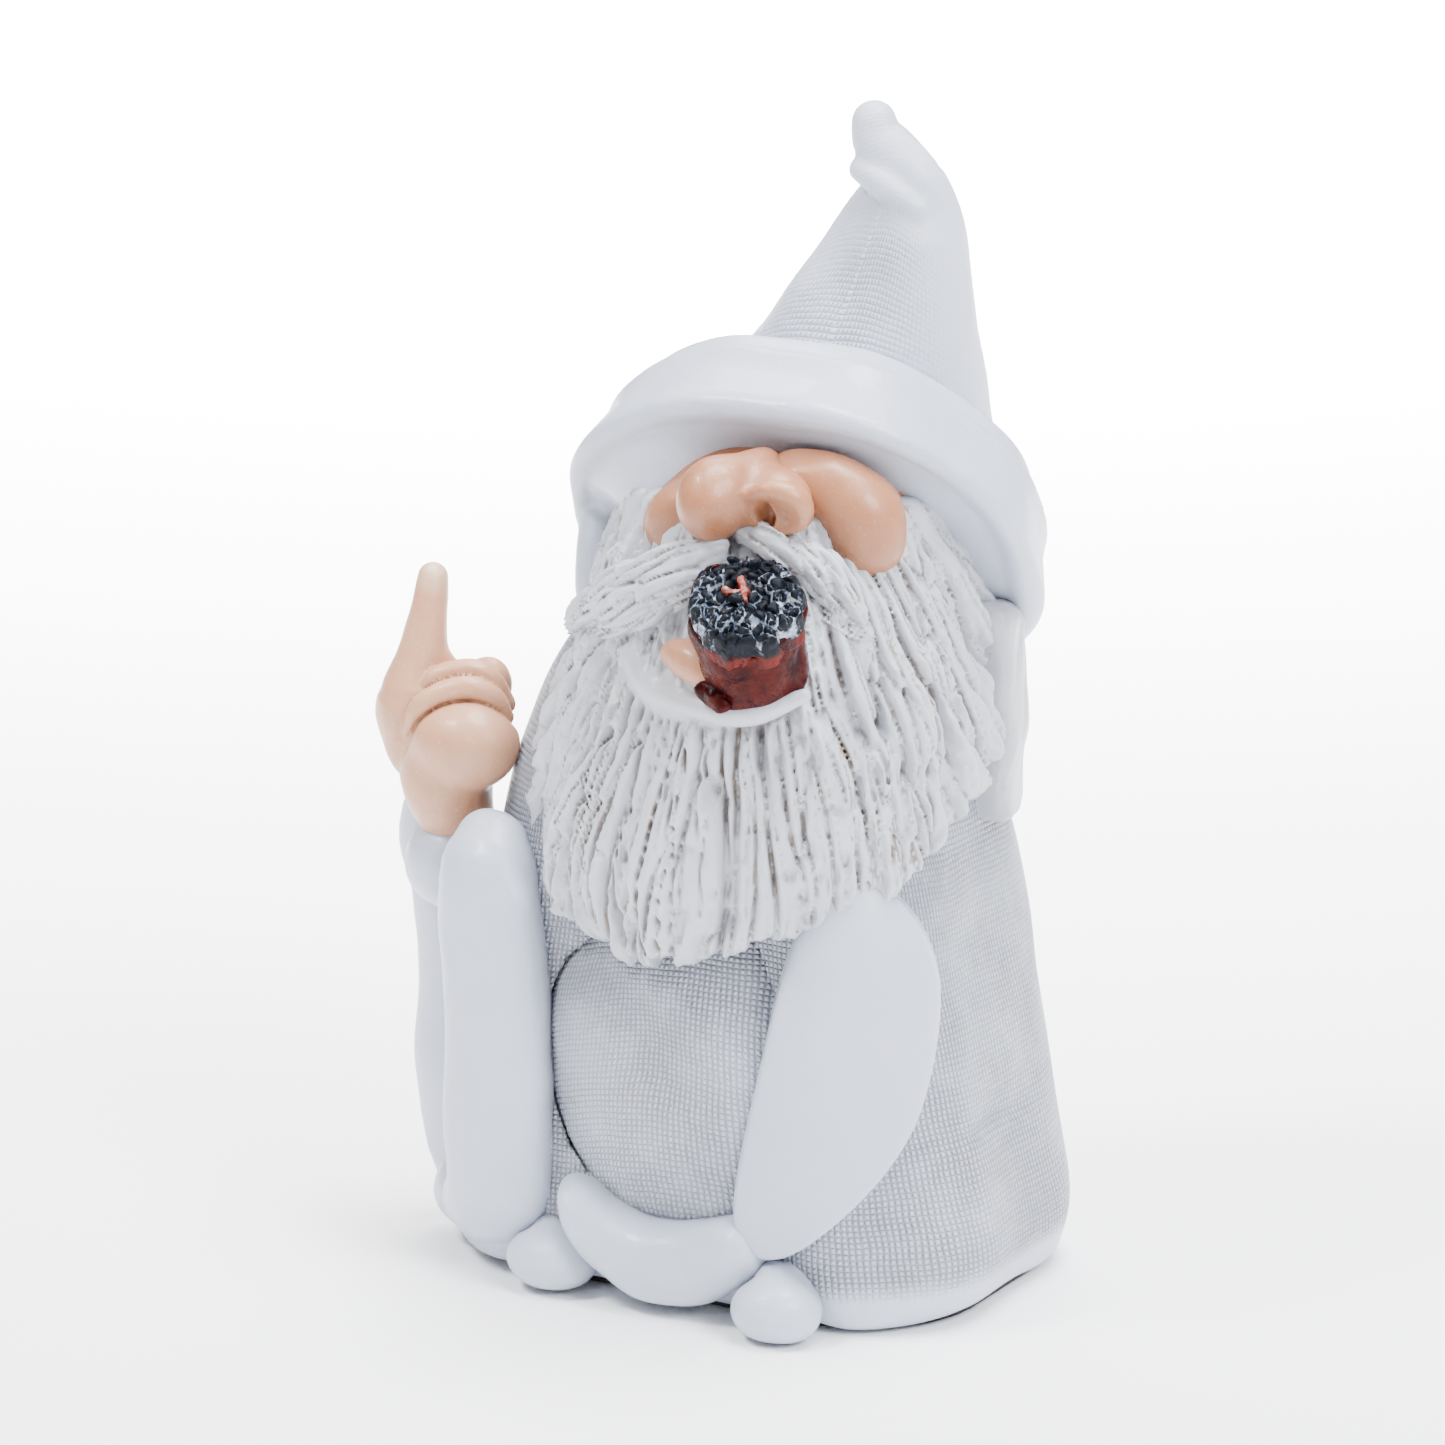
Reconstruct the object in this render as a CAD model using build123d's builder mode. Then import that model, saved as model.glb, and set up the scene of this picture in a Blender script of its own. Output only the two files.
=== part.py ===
from build123d import *

import os
from math import asin, cos, pi, radians, sin

# Garden gnome, cast in resin: a hollow robe closed by a base plate, with a solid head, a hood-like
# pointed hat, a beard, two sleeves, a raised hand and a cigar, each its own piece seated on the others.
#
# Millimetres. +Z is up, the gnome faces -Y, and its left hand is on the +X side. The origin is the
# middle of the base pad's underside. "Left" and "right" are the gnome's own.

# --- driving dimensions -------------------------------------------------------------------------
TOTAL_HEIGHT = 150.0
PAD_THICKNESS = 1.5
GLUE_GAP = 0.1
PIN_RADIUS = 1.5

ROBE_TOP = 84.0
HEAD_CENTRE = (6.0, -1.0, 91.0)
HEAD_RADIUS = 22.5
HEAD_YAW = 10.0
BRIM_TILT = 51.0
BRIM_RADIUS = 30.5
BRIM_THICKNESS = 6.0
BRIM_DEPTH = 15.0
CIGAR_RADIUS = 7.3
CIGAR_LENGTH = 14.5
ASH_LENGTH = 3.0
CIGAR_ROOT = (13.5, -24.0, 81.0)
CIGAR_TIP_OFFSET = (3.9, -9.5, 13.6)

# Horizontal sections of the robe: height, half width, half depth, corner radius.
ROBE_SECTIONS = (
    (PAD_THICKNESS, 38.5, 25.5, 17.0),
    (8.0, 39.5, 26.5, 17.5),
    (30.0, 36.5, 26.0, 17.0),
    (55.0, 31.0, 23.5, 16.0),
    (75.0, 24.0, 19.0, 14.0),
    (ROBE_TOP, 18.0, 14.0, 11.0),
)
# Balls whose union is the beard's bulk: centre, radius.
BEARD_BALLS = (
    ((5.5, -3.0, 80.0), 26.6),
    ((3.0, -8.5, 70.0), 24.5),
    ((14.0, -9.5, 68.5), 20.5),
    ((-5.0, -14.0, 62.5), 17.5),
    ((2.0, -18.5, 57.5), 12.5),
)
# The hat's spine from the brim to the curled tip: point on the spine, radius there.
HAT_SPINE = (
    ((6.5, 8.5, 99.0), 23.0),
    ((11.0, 9.5, 119.0), 14.6),
    ((14.0, 11.0, 139.0), 5.6),
    ((11.8, 8.3, TOTAL_HEIGHT - 2.7), 2.7),
)
HAT_STEP = 0.3


# --- shared shapes -------------------------------------------------------------------------------
def rounded_loft(sections, inset=0.0):
    """A smooth solid through rounded rectangles: height, half width, half depth, corner radius."""
    with BuildPart() as solid:
        for height, half_x, half_y, corner in sections:
            with BuildSketch(Plane.XY.offset(height)):
                RectangleRounded(2 * (half_x - inset), 2 * (half_y - inset), corner - inset)
        loft()
    return solid.part


def taper_rod(start, end, start_radius, end_radius):
    """A round-ended rod whose radius runs from one end's to the other's, tangent to both balls."""
    run = Vector(*end) - Vector(*start)
    across = Plane(origin=start, z_dir=run)
    lean = asin((start_radius - end_radius) / run.length)
    start_edge = (start_radius * cos(lean), start_radius * sin(lean))
    end_edge = (end_radius * cos(lean), run.length + end_radius * sin(lean))
    low = (lean - pi / 2) / 2
    high = (lean + pi / 2) / 2
    with BuildPart() as rod:
        with BuildSketch(Plane(origin=start, x_dir=across.x_dir, z_dir=-across.y_dir)):
            with BuildLine():
                ThreePointArc(
                    (0, -start_radius), (start_radius * cos(low), start_radius * sin(low)), start_edge
                )
                Line(start_edge, end_edge)
                ThreePointArc(
                    end_edge,
                    (end_radius * cos(high), run.length + end_radius * sin(high)),
                    (0, run.length + end_radius),
                )
                Line((0, run.length + end_radius), (0, -start_radius))
            make_face()
        revolve(axis=Axis(start, run))
    return rod.part


def pin_between(start, end, radius=PIN_RADIUS):
    """A plain round pin."""
    run = Vector(*end) - Vector(*start)
    with BuildPart() as pin:
        with Locations(Plane(origin=start, z_dir=run)):
            Cylinder(radius, run.length, align=(Align.CENTER, Align.CENTER, Align.MIN))
    return pin.part


def cut_by(piece, *others):
    """The piece less the space that the others fill."""
    with BuildPart() as cut:
        add(piece)
        for other in others:
            add(other, mode=Mode.SUBTRACT)
    return cut.part


def largest(piece):
    """The piece's largest solid, without slivers that a cut leaves beside it."""
    with BuildPart() as kept:
        add(piece.solids().sort_by(SortBy.VOLUME)[-1])
    return kept.part


def save(piece, name):
    piece.label = name
    export_step(piece, f"parts/{name}.step")


# --- raw volumes that the pieces are cut from ----------------------------------------------------
head_centre = Vector(*HEAD_CENTRE)
robe_solid = rounded_loft(ROBE_SECTIONS)
with BuildPart() as head_ball:
    with Locations(HEAD_CENTRE):
        Sphere(HEAD_RADIUS)

yaw = radians(HEAD_YAW)
tilt = radians(BRIM_TILT)
face_left = Vector(cos(yaw), sin(yaw), 0)
brim_normal = Vector(-sin(yaw) * sin(tilt), cos(yaw) * sin(tilt), cos(tilt))
brim_centre = head_centre + Vector(-1, 1, 0)
brim_plane = Plane(origin=brim_centre, x_dir=face_left, z_dir=brim_normal)

# --- pins ----------------------------------------------------------------------------------------
neck_axis = (Vector(5, -0.5, 58), Vector(5.5, -0.5, 82))
hand_pin_ends = (Vector(-34.5, -16.0, 44), Vector(-34.5, -17.5, 66))
cigar_axis = Vector(*CIGAR_TIP_OFFSET).normalized()
cigar_root = Vector(*CIGAR_ROOT)
cigar_pin_ends = (cigar_root - cigar_axis * 7, cigar_root + cigar_axis * 8)

# --- base ----------------------------------------------------------------------------------------
with BuildPart() as base_pad:
    with BuildSketch():
        RectangleRounded(71, 46, 16)
    extrude(amount=PAD_THICKNESS)

PLATE_HALF_X, PLATE_HALF_Y, PLATE_CORNER, PLATE_THICKNESS = 34.0, 21.0, 13.0, 4.0
with BuildPart() as base_plate:
    with BuildSketch(Plane.XY.offset(PAD_THICKNESS)):
        RectangleRounded(
            2 * (PLATE_HALF_X - GLUE_GAP), 2 * (PLATE_HALF_Y - GLUE_GAP), PLATE_CORNER - GLUE_GAP
        )
    extrude(amount=PLATE_THICKNESS)

# --- robe ----------------------------------------------------------------------------------------
CAVITY_SECTIONS = (
    (PAD_THICKNESS, 32.0, 19.0, 11.0),
    (30.0, 30.5, 20.0, 11.0),
    (55.0, 25.0, 17.5, 10.0),
    (66.0, 19.0, 13.0, 8.0),
)
with BuildPart() as robe_shell:
    add(robe_solid)
    add(rounded_loft(CAVITY_SECTIONS), mode=Mode.SUBTRACT)
    with BuildSketch(Plane.XY.offset(PAD_THICKNESS)):
        RectangleRounded(2 * PLATE_HALF_X, 2 * PLATE_HALF_Y, PLATE_CORNER)
    extrude(amount=PLATE_THICKNESS, mode=Mode.SUBTRACT)
    add(head_ball.part, mode=Mode.SUBTRACT)
    add(pin_between(*neck_axis, radius=PIN_RADIUS + GLUE_GAP), mode=Mode.SUBTRACT)

BELLY_CENTRE = (0.5, -2.5, 31.0)
with BuildPart() as belly_panel:
    with Locations(BELLY_CENTRE):
        Sphere(29.0)
    add(robe_solid, mode=Mode.SUBTRACT)
    with Locations((0, BELLY_CENTRE[1], 0)):
        Box(200, 200, 400, align=(Align.CENTER, Align.MIN, Align.CENTER), mode=Mode.SUBTRACT)

with BuildPart() as hem_roll:
    with BuildLine():
        crescent = ThreePointArc((-14, -27.5, 14), (2, -30.0, 7.0), (18, -27.5, 11))
    with BuildSketch(Plane(origin=crescent @ 0, z_dir=crescent % 0)):
        Circle(4.8)
    sweep()
    with Locations(crescent @ 0, crescent @ 1):
        Sphere(4.8)
front_hem = largest(cut_by(hem_roll.part, robe_solid, belly_panel.part))

# --- shoes ---------------------------------------------------------------------------------------
SHOE_RADIUS = 5.4
shoes = {}
for shoe_name, shoe_x in (("right_shoe", -14.5), ("left_shoe", 19.5)):
    toe = taper_rod(
        (shoe_x * 0.95, -20, SHOE_RADIUS + 0.6), (shoe_x, -29, SHOE_RADIUS + 0.6),
        SHOE_RADIUS, SHOE_RADIUS,
    )
    shoes[shoe_name] = largest(
        cut_by(toe, robe_solid, belly_panel.part, hem_roll.part, base_pad.part)
    )

# --- right sleeve with the two lips of its long cuff ---------------------------------------------
with BuildPart() as sleeve_bulk:
    add(taper_rod((-29.5, -11.5, 13.5), (-31.0, -12.0, 50.0), 13.4, 10.6))
    with BuildSketch(Plane.XY.offset(PAD_THICKNESS)):
        Rectangle(200, 200)
    extrude(amount=-20, mode=Mode.SUBTRACT)
sleeve_core = sleeve_bulk.part
inner_lip = taper_rod((-25.0, -22.0, 56), (-22.8, -21.5, 9.5), 5.6, 6.5)
outer_lip = taper_rod((-38.0, -18.5, 54.5), (-37.0, -16.0, 9.5), 5.0, 6.2)
hand_pin = pin_between(*hand_pin_ends)
hand_pin_bore = pin_between(*hand_pin_ends, radius=PIN_RADIUS + GLUE_GAP)
right_sleeve = largest(
    cut_by(sleeve_core, robe_solid, belly_panel.part, shoes["right_shoe"], hem_roll.part, hand_pin_bore)
)
cuff_inner = largest(
    cut_by(inner_lip, robe_solid, belly_panel.part, sleeve_core, hem_roll.part, shoes["right_shoe"])
)
cuff_outer = largest(cut_by(outer_lip, robe_solid, sleeve_core, inner_lip, hand_pin_bore))

# --- left sleeve, hanging in front of the robe ---------------------------------------------------
left_leaf = taper_rod((26.5, -16.0, 46.5), (16.8, -22.0, 16.5), 9.4, 6.6)
left_sleeve = largest(
    cut_by(left_leaf, robe_solid, belly_panel.part, hem_roll.part, shoes["left_shoe"])
)

# --- head, nose and mouth ------------------------------------------------------------------------
head = cut_by(
    head_ball.part,
    pin_between(*neck_axis, radius=PIN_RADIUS + GLUE_GAP),
    pin_between(*cigar_pin_ends, radius=PIN_RADIUS + GLUE_GAP),
)
neck_pin = pin_between(*neck_axis)
cigar_pin = pin_between(*cigar_pin_ends)

with BuildPart() as nose_parts:
    with Locations((8.8, -24.5, 104.0)):
        Sphere(5.3)
    add(taper_rod((9.5, -16.0, 111.0), (8.8, -23.0, 105.5), 2.6, 3.6))
    with Locations((13.8, -20.0, 103.0), (4.4, -21.5, 102.6)):
        Sphere(3.1)
nose = largest(cut_by(nose_parts.part, head_ball.part))

# --- beard and moustache -------------------------------------------------------------------------
with BuildPart() as beard_bulk:
    for centre, radius in BEARD_BALLS:
        with Locations(centre):
            Sphere(radius)
beard_blob = beard_bulk.part
BEARD_BACK = 10.0
cigar_bore = taper_rod(
    cigar_root - cigar_axis * 3, cigar_root + cigar_axis * 20,
    CIGAR_RADIUS + GLUE_GAP, CIGAR_RADIUS + GLUE_GAP,
)
with BuildPart() as beard_cut:
    add(beard_blob)
    with Locations((0, BEARD_BACK, 0)):
        Box(200, 200, 400, align=(Align.CENTER, Align.MIN, Align.CENTER), mode=Mode.SUBTRACT)
    for hard in (head_ball.part, robe_solid, belly_panel.part, sleeve_core, inner_lip, left_leaf):
        add(hard, mode=Mode.SUBTRACT)
    add(nose, mode=Mode.SUBTRACT)
    add(pin_between(*cigar_pin_ends, radius=PIN_RADIUS + GLUE_GAP), mode=Mode.SUBTRACT)
beard = largest(beard_cut.part)

moustache_right_raw = taper_rod((7.5, -27.5, 98.0), (-11.5, -24.0, 84.0), 4.2, 3.2)
moustache_left_raw = taper_rod((12.0, -27.0, 97.5), (27.0, -18.0, 88.0), 3.8, 2.8)
lip_raw = taper_rod((-2.0, -29.2, 82.5), (6.0, -31.6, 84.0), 2.6, 2.6)
soft_hair = (beard_blob, head_ball.part, nose)
moustache_right = largest(cut_by(moustache_right_raw, *soft_hair, cigar_bore))
moustache_left = largest(cut_by(moustache_left_raw, *soft_hair, moustache_right_raw, cigar_bore))
lower_lip = largest(cut_by(lip_raw, *soft_hair, cigar_bore))

# --- hat -----------------------------------------------------------------------------------------
with BuildPart() as brim_ring:
    with BuildSketch(Plane(brim_plane.origin, x_dir=brim_plane.x_dir, z_dir=-brim_plane.y_dir)):
        with BuildLine():
            Polyline(
                (BRIM_RADIUS - BRIM_THICKNESS, -1.0),
                (BRIM_RADIUS + 0.5, -2.0),
                (BRIM_RADIUS, 6.0),
                (BRIM_RADIUS - 4.5, BRIM_DEPTH),
                (BRIM_RADIUS - 4.5 - BRIM_THICKNESS, BRIM_DEPTH),
                close=True,
            )
        make_face()
        fillet(vertices(), 1.8)
    revolve(axis=Axis(brim_plane.origin, brim_plane.z_dir))
hat_brim = largest(
    cut_by(brim_ring.part, head_ball.part, beard, nose, robe_solid, moustache_left, moustache_right)
)

with BuildPart() as hat_cut:
    for (low_point, low_radius), (high_point, high_radius) in zip(HAT_SPINE, HAT_SPINE[1:]):
        add(taper_rod(low_point, high_point, low_radius - HAT_STEP, high_radius))
    for hard in (brim_ring.part, head_ball.part, beard_blob, robe_solid):
        add(hard, mode=Mode.SUBTRACT)
hat_cone = largest(hat_cut.part)

# --- hair behind the head ------------------------------------------------------------------------
HAIR_BOTTOM, HAIR_TOP, HAIR_FRONT = 60.0, 84.0, 6.0
with BuildPart() as hair_cut:
    with BuildSketch(Plane((2.5, 4.0, HAIR_BOTTOM))):
        RectangleRounded(60, 37, 13)
    extrude(amount=HAIR_TOP - HAIR_BOTTOM, taper=2)
    with Locations((0, HAIR_FRONT, 0)):
        Box(200, 200, 400, align=(Align.CENTER, Align.MAX, Align.CENTER), mode=Mode.SUBTRACT)
    for hard in (robe_solid, head_ball.part, beard, brim_ring.part, hat_cone):
        add(hard, mode=Mode.SUBTRACT)
back_hair = largest(hair_cut.part)

# --- cigar ---------------------------------------------------------------------------------------
cigar_plane = Plane(origin=cigar_root, z_dir=cigar_axis)
WRAP_WALL, ASH_SEAT, EMBER_RADIUS = 1.0, 4.0, 1.6
with BuildPart() as cigar_wrapper:
    with BuildSketch(cigar_plane.offset(-4)):
        Circle(CIGAR_RADIUS - 0.4)
    with BuildSketch(cigar_plane.offset(CIGAR_LENGTH)):
        Circle(CIGAR_RADIUS)
    loft()
    with BuildSketch(cigar_plane.offset(CIGAR_LENGTH - ASH_SEAT)):
        Circle(CIGAR_RADIUS - WRAP_WALL)
    extrude(amount=ASH_SEAT, mode=Mode.SUBTRACT)
    for hard in (head_ball.part, beard, hat_brim, lower_lip, moustache_left):
        add(hard, mode=Mode.SUBTRACT)
    add(pin_between(*cigar_pin_ends, radius=PIN_RADIUS + GLUE_GAP), mode=Mode.SUBTRACT)

with BuildPart() as cigar_ash:
    with BuildSketch(cigar_plane.offset(CIGAR_LENGTH - ASH_SEAT)):
        Circle(CIGAR_RADIUS - WRAP_WALL - GLUE_GAP)
    extrude(amount=ASH_SEAT + ASH_LENGTH)
    fillet(edges().sort_by(Axis(cigar_root, cigar_axis))[-1], 1.6)
    with BuildSketch(cigar_plane.offset(CIGAR_LENGTH + ASH_LENGTH - 2)):
        Circle(EMBER_RADIUS)
    extrude(amount=2, mode=Mode.SUBTRACT)

with BuildPart() as cigar_ember:
    with BuildSketch(cigar_plane.offset(CIGAR_LENGTH + ASH_LENGTH - 2)):
        Circle(EMBER_RADIUS - 0.05)
    extrude(amount=2.5)

wrapper_tail_raw = taper_rod((9.0, -31.0, 79.0), (13.5, -34.0, 78.5), 2.6, 2.2)
wrapper_tail = largest(cut_by(wrapper_tail_raw, cigar_wrapper.part, beard, lower_lip))

# --- raised right hand ---------------------------------------------------------------------------
with BuildPart() as hand_parts:
    add(taper_rod((-33.5, -16.0, 58.0), (-35.2, -17.6, 68.5), 6.0, 8.6))
    add(taper_rod((-37.3, -17.5, 70.0), (-38.0, -18.5, 88.5), 3.9, 2.3))
    for start, end in (
        ((-36.0, -23.0, 70.5), (-29.0, -18.5, 73.5)),
        ((-35.0, -21.0, 74.0), (-29.0, -15.5, 75.0)),
        ((-33.0, -24.0, 66.5), (-28.0, -19.5, 66.5)),
    ):
        add(taper_rod(start, end, 3.0, 3.0))
right_hand = largest(
    cut_by(
        hand_parts.part, sleeve_core, cuff_inner, cuff_outer, robe_solid, beard_blob, hand_pin_bore
    )
)

# --- the pieces as files -------------------------------------------------------------------------
os.makedirs("parts", exist_ok=True)
for piece, name in (
    (base_pad.part, "base_pad"),
    (base_plate.part, "base_plate"),
    (robe_shell.part, "robe_shell"),
    (belly_panel.part, "belly_panel"),
    (front_hem, "front_hem"),
    (shoes["right_shoe"], "right_shoe"),
    (shoes["left_shoe"], "left_shoe"),
    (right_sleeve, "right_sleeve"),
    (cuff_inner, "right_cuff_inner"),
    (cuff_outer, "right_cuff_outer"),
    (left_sleeve, "left_sleeve"),
    (head, "head"),
    (nose, "nose"),
    (beard, "beard"),
    (moustache_right, "moustache_right"),
    (moustache_left, "moustache_left"),
    (lower_lip, "lower_lip"),
    (hat_brim, "hat_brim"),
    (hat_cone, "hat_cone"),
    (back_hair, "back_hair"),
    (cigar_wrapper.part, "cigar_wrapper"),
    (wrapper_tail, "cigar_wrapper_tail"),
    (cigar_ash.part, "cigar_ash"),
    (cigar_ember.part, "cigar_ember"),
    (right_hand, "right_hand"),
    (hand_pin, "hand_pin"),
    (neck_pin, "neck_pin"),
    (cigar_pin, "cigar_pin"),
):
    save(piece, name)
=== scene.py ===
import math

import bpy
import numpy as np
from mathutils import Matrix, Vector


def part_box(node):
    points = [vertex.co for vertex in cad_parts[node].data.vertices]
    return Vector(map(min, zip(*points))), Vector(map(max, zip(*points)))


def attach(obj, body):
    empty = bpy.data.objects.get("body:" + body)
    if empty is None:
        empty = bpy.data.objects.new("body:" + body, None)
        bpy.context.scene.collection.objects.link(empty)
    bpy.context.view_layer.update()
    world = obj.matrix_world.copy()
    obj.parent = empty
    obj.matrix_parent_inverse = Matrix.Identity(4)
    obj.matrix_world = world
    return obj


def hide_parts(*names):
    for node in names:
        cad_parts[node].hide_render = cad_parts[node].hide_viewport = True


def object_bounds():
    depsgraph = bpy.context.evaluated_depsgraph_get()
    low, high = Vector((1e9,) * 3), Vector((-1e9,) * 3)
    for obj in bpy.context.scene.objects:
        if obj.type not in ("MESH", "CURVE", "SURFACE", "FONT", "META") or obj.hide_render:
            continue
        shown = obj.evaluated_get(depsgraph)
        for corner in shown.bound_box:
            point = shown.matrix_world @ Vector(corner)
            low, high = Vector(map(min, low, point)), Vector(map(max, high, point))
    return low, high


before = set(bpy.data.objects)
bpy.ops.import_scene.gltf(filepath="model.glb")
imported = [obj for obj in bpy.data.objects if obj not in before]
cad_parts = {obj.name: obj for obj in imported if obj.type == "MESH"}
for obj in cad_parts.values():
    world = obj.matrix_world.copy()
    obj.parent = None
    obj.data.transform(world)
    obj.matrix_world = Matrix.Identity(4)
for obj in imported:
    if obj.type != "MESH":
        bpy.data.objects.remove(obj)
size_before = [[float(c) for c in corner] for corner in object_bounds()]
F = np.float32
MM = 0.001  # one millimetre, in metres
PER_METRE = 1000  # millimetres in a metre
FAR = 9.0  # stands for any distance that is well clear of a surface


# --- places in the CAD frame, in millimetres
def box_mm(node):
    low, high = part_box(node)
    return np.array(low, F) * PER_METRE, np.array(high, F) * PER_METRE


def vec(*values):
    return np.array(values, F)


def at(node, x, y, z):
    """A place given from the middle of a node's box."""
    low, high = box_mm(node)
    return (low + high) / 2 + vec(x, y, z)


def spots(node, *places):
    return [at(node, *place) for place in places]


# --- noise
def rnd(i, j, k, seed):
    """A repeatable random number from 0 to 1 for each whole-numbered cell."""
    n = i.astype(np.int64) * 73856093 ^ j.astype(np.int64) * 19349663 ^ k * 83492791 ^ seed * 2654435
    n = (n ^ (n >> 13)) & 0x7FFFFFFF
    n = (n * 1274126177 + 12345) & 0x7FFFFFFF
    n = ((n ^ (n >> 15)) * 668265263) & 0x7FFFFFFF
    return (n ^ (n >> 16)).astype(F) / F(0x7FFFFFFF)


def noise(x, y, z, seed):
    """Smooth noise from -1 to 1, with about one swell to a unit."""
    x, y, z = np.broadcast_arrays(x, y, z)
    ix, iy, iz = np.floor(x), np.floor(y), np.floor(z)
    fx, fy, fz = x - ix, y - iy, z - iz
    fx, fy, fz = (t * t * (3 - 2 * t) for t in (fx, fy, fz))
    ix, iy, iz = ix.astype(np.int64), iy.astype(np.int64), iz.astype(np.int64)
    total = 0
    for a in (0, 1):
        wx = fx if a else 1 - fx
        for b in (0, 1):
            wy = fy if b else 1 - fy
            for c in (0, 1):
                wz = fz if c else 1 - fz
                total = total + rnd(ix + a, iy + b, iz + c, seed) * (wx * wy * wz)
    return (2 * total - 1).astype(F)


def cells(u, v, seed, jitter=0.8):
    """Nearest and second nearest distance to scattered points, and the nearest one's random number."""
    iu, iv = np.floor(u).astype(np.int64), np.floor(v).astype(np.int64)
    fu, fv = u - iu, v - iv
    f1 = np.full(u.shape, FAR, F)
    f2 = np.full(u.shape, FAR, F)
    name = np.zeros(u.shape, F)
    for a in (-1, 0, 1):
        for b in (-1, 0, 1):
            ju = rnd(iu + a, iv + b, 0, seed)
            jv = rnd(iu + a, iv + b, 0, seed + 7)
            du = a + 0.5 + jitter * (ju - 0.5) - fu
            dv = b + 0.5 + jitter * (jv - 0.5) - fv
            d = np.sqrt(du * du + dv * dv).astype(F)
            near = d < f1
            f2 = np.where(near, f1, np.minimum(f2, d))
            name = np.where(near, rnd(iu + a, iv + b, 0, seed + 13), name)
            f1 = np.where(near, d, f1)
    return f1, f2, name


# --- distance fields
def smin(a, b, k):
    """Two fields joined, with a fillet of about k millimetres."""
    h = np.clip(0.5 + 0.5 * (b - a) / k, 0, 1)
    return b + (a - b) * h - k * h * (1 - h)


def smax(a, b, k):
    """What two fields share, with its edge rounded by about k millimetres."""
    return -smin(-a, -b, k)


def ball(p, c, r):
    return np.linalg.norm(p - c, axis=-1) - F(r)


def blob(p, c, r, turn=None):
    """An ellipsoid with half axes r, its own axes the rows of turn."""
    q = p - c
    if turn is not None:
        q = q @ np.asarray(turn, F).T
    r = np.asarray(r, F)
    k0 = np.linalg.norm(q / r, axis=-1)
    k1 = np.linalg.norm(q / (r * r), axis=-1)
    return k0 * (k0 - 1) / np.maximum(k1, 1e-6)


def rod(p, a, b, ra, rb):
    """A round-ended rod from a to b, whose radius runs from ra to rb."""
    ab = b - a
    t = np.clip(((p - a) @ ab) / F(ab @ ab), 0, 1)
    d = np.linalg.norm(p - a - t[..., None] * ab, axis=-1)
    return d - (ra + (rb - ra) * t)


def rope(p, points, radii, k=0.0, steps=5):
    """A rounded tube along a smooth curve through the points."""
    points, radii = smooth_path(points, radii, steps)
    d = None
    for i in range(len(points) - 1):
        e = rod(p, points[i], points[i + 1], radii[i], radii[i + 1])
        d = e if d is None else (smin(d, e, k) if k else np.minimum(d, e))
    return d


def catmull(a, b, c, d, s):
    """A place on the smooth curve from b to c. The points beyond it are a and d."""
    return 0.5 * (2 * b + (c - a) * s + (2 * a - 5 * b + 4 * c - d) * s * s
                  + (3 * b - a - 3 * c + d) * s ** 3)


def smooth_path(points, radii, steps):
    """Close points and radii on a smooth curve through the given ones."""
    pts = np.array(points, float)
    rs = np.array(radii, float)
    data = np.column_stack([pts, rs])
    padded = np.vstack([2 * data[0] - data[1], data, 2 * data[-1] - data[-2]])
    out = []
    for i in range(1, len(padded) - 2):
        a, b, c, d = padded[i - 1:i + 3]
        for s in np.linspace(0, 1, steps, endpoint=False):
            out.append(catmull(a, b, c, d, s))
    out.append(padded[-2])
    out = np.array(out)
    return out[:, :3].astype(F), out[:, 3].astype(F)


def ramp(z, zs, values, soft=2.5):
    """Values along z with softened corners."""
    t = np.linspace(zs[0] - 12, zs[-1] + 12, 400)
    v = np.interp(t, zs, values)
    w = np.exp(-0.5 * (np.arange(-40, 41) * (t[1] - t[0]) / soft) ** 2)
    v = np.convolve(np.pad(v, 40, mode="edge"), w / w.sum(), mode="valid")
    return np.interp(z, t, v).astype(F)


def rounded_box(x, y, wide, deep, corner):
    """Signed distance in a plane to a rounded rectangle about the origin."""
    dx, dy = np.abs(x) - wide + corner, np.abs(y) - deep + corner
    return np.hypot(np.maximum(dx, 0), np.maximum(dy, 0)) + np.minimum(np.maximum(dx, dy), 0) - corner


def outline(q, points, steps=5):
    """Signed distance in a plane to a smooth closed outline, negative inside."""
    pts = np.array(points, float)
    n = len(pts)
    path = []
    for i in range(n):
        a, b, c, d = pts[i - 1], pts[i], pts[(i + 1) % n], pts[(i + 2) % n]
        for s in np.linspace(0, 1, steps, endpoint=False):
            path.append(catmull(a, b, c, d, s))
    path = np.array(path, F)
    best = np.full(q.shape[:-1], 1e9, F)
    inside = np.zeros(q.shape[:-1], bool)
    for i in range(len(path)):
        a, b = path[i - 1], path[i]
        e = b - a
        w = q - a
        t = np.clip((w @ e) / max(float(e @ e), 1e-9), 0, 1)
        best = np.minimum(best, ((w - t[..., None] * e) ** 2).sum(-1))
        if a[1] != b[1]:
            crossing = (a[1] > q[..., 1]) != (b[1] > q[..., 1])
            x = a[0] + (q[..., 1] - a[1]) * (e[0] / e[1])
            inside ^= crossing & (q[..., 0] < x)
    return np.where(inside, -1, 1) * np.sqrt(best)


# --- meshing
CORNERS = [(a, b, c) for a in (0, 1) for b in (0, 1) for c in (0, 1)]
EDGES = [(p, q) for p in CORNERS for q in CORNERS
         if sum(abs(i - j) for i, j in zip(p, q)) == 1 and p < q]


def in_chunks(field, points, size=400000):
    return np.concatenate([field(points[i:i + size]) for i in range(0, len(points), size)]).astype(F)


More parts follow.
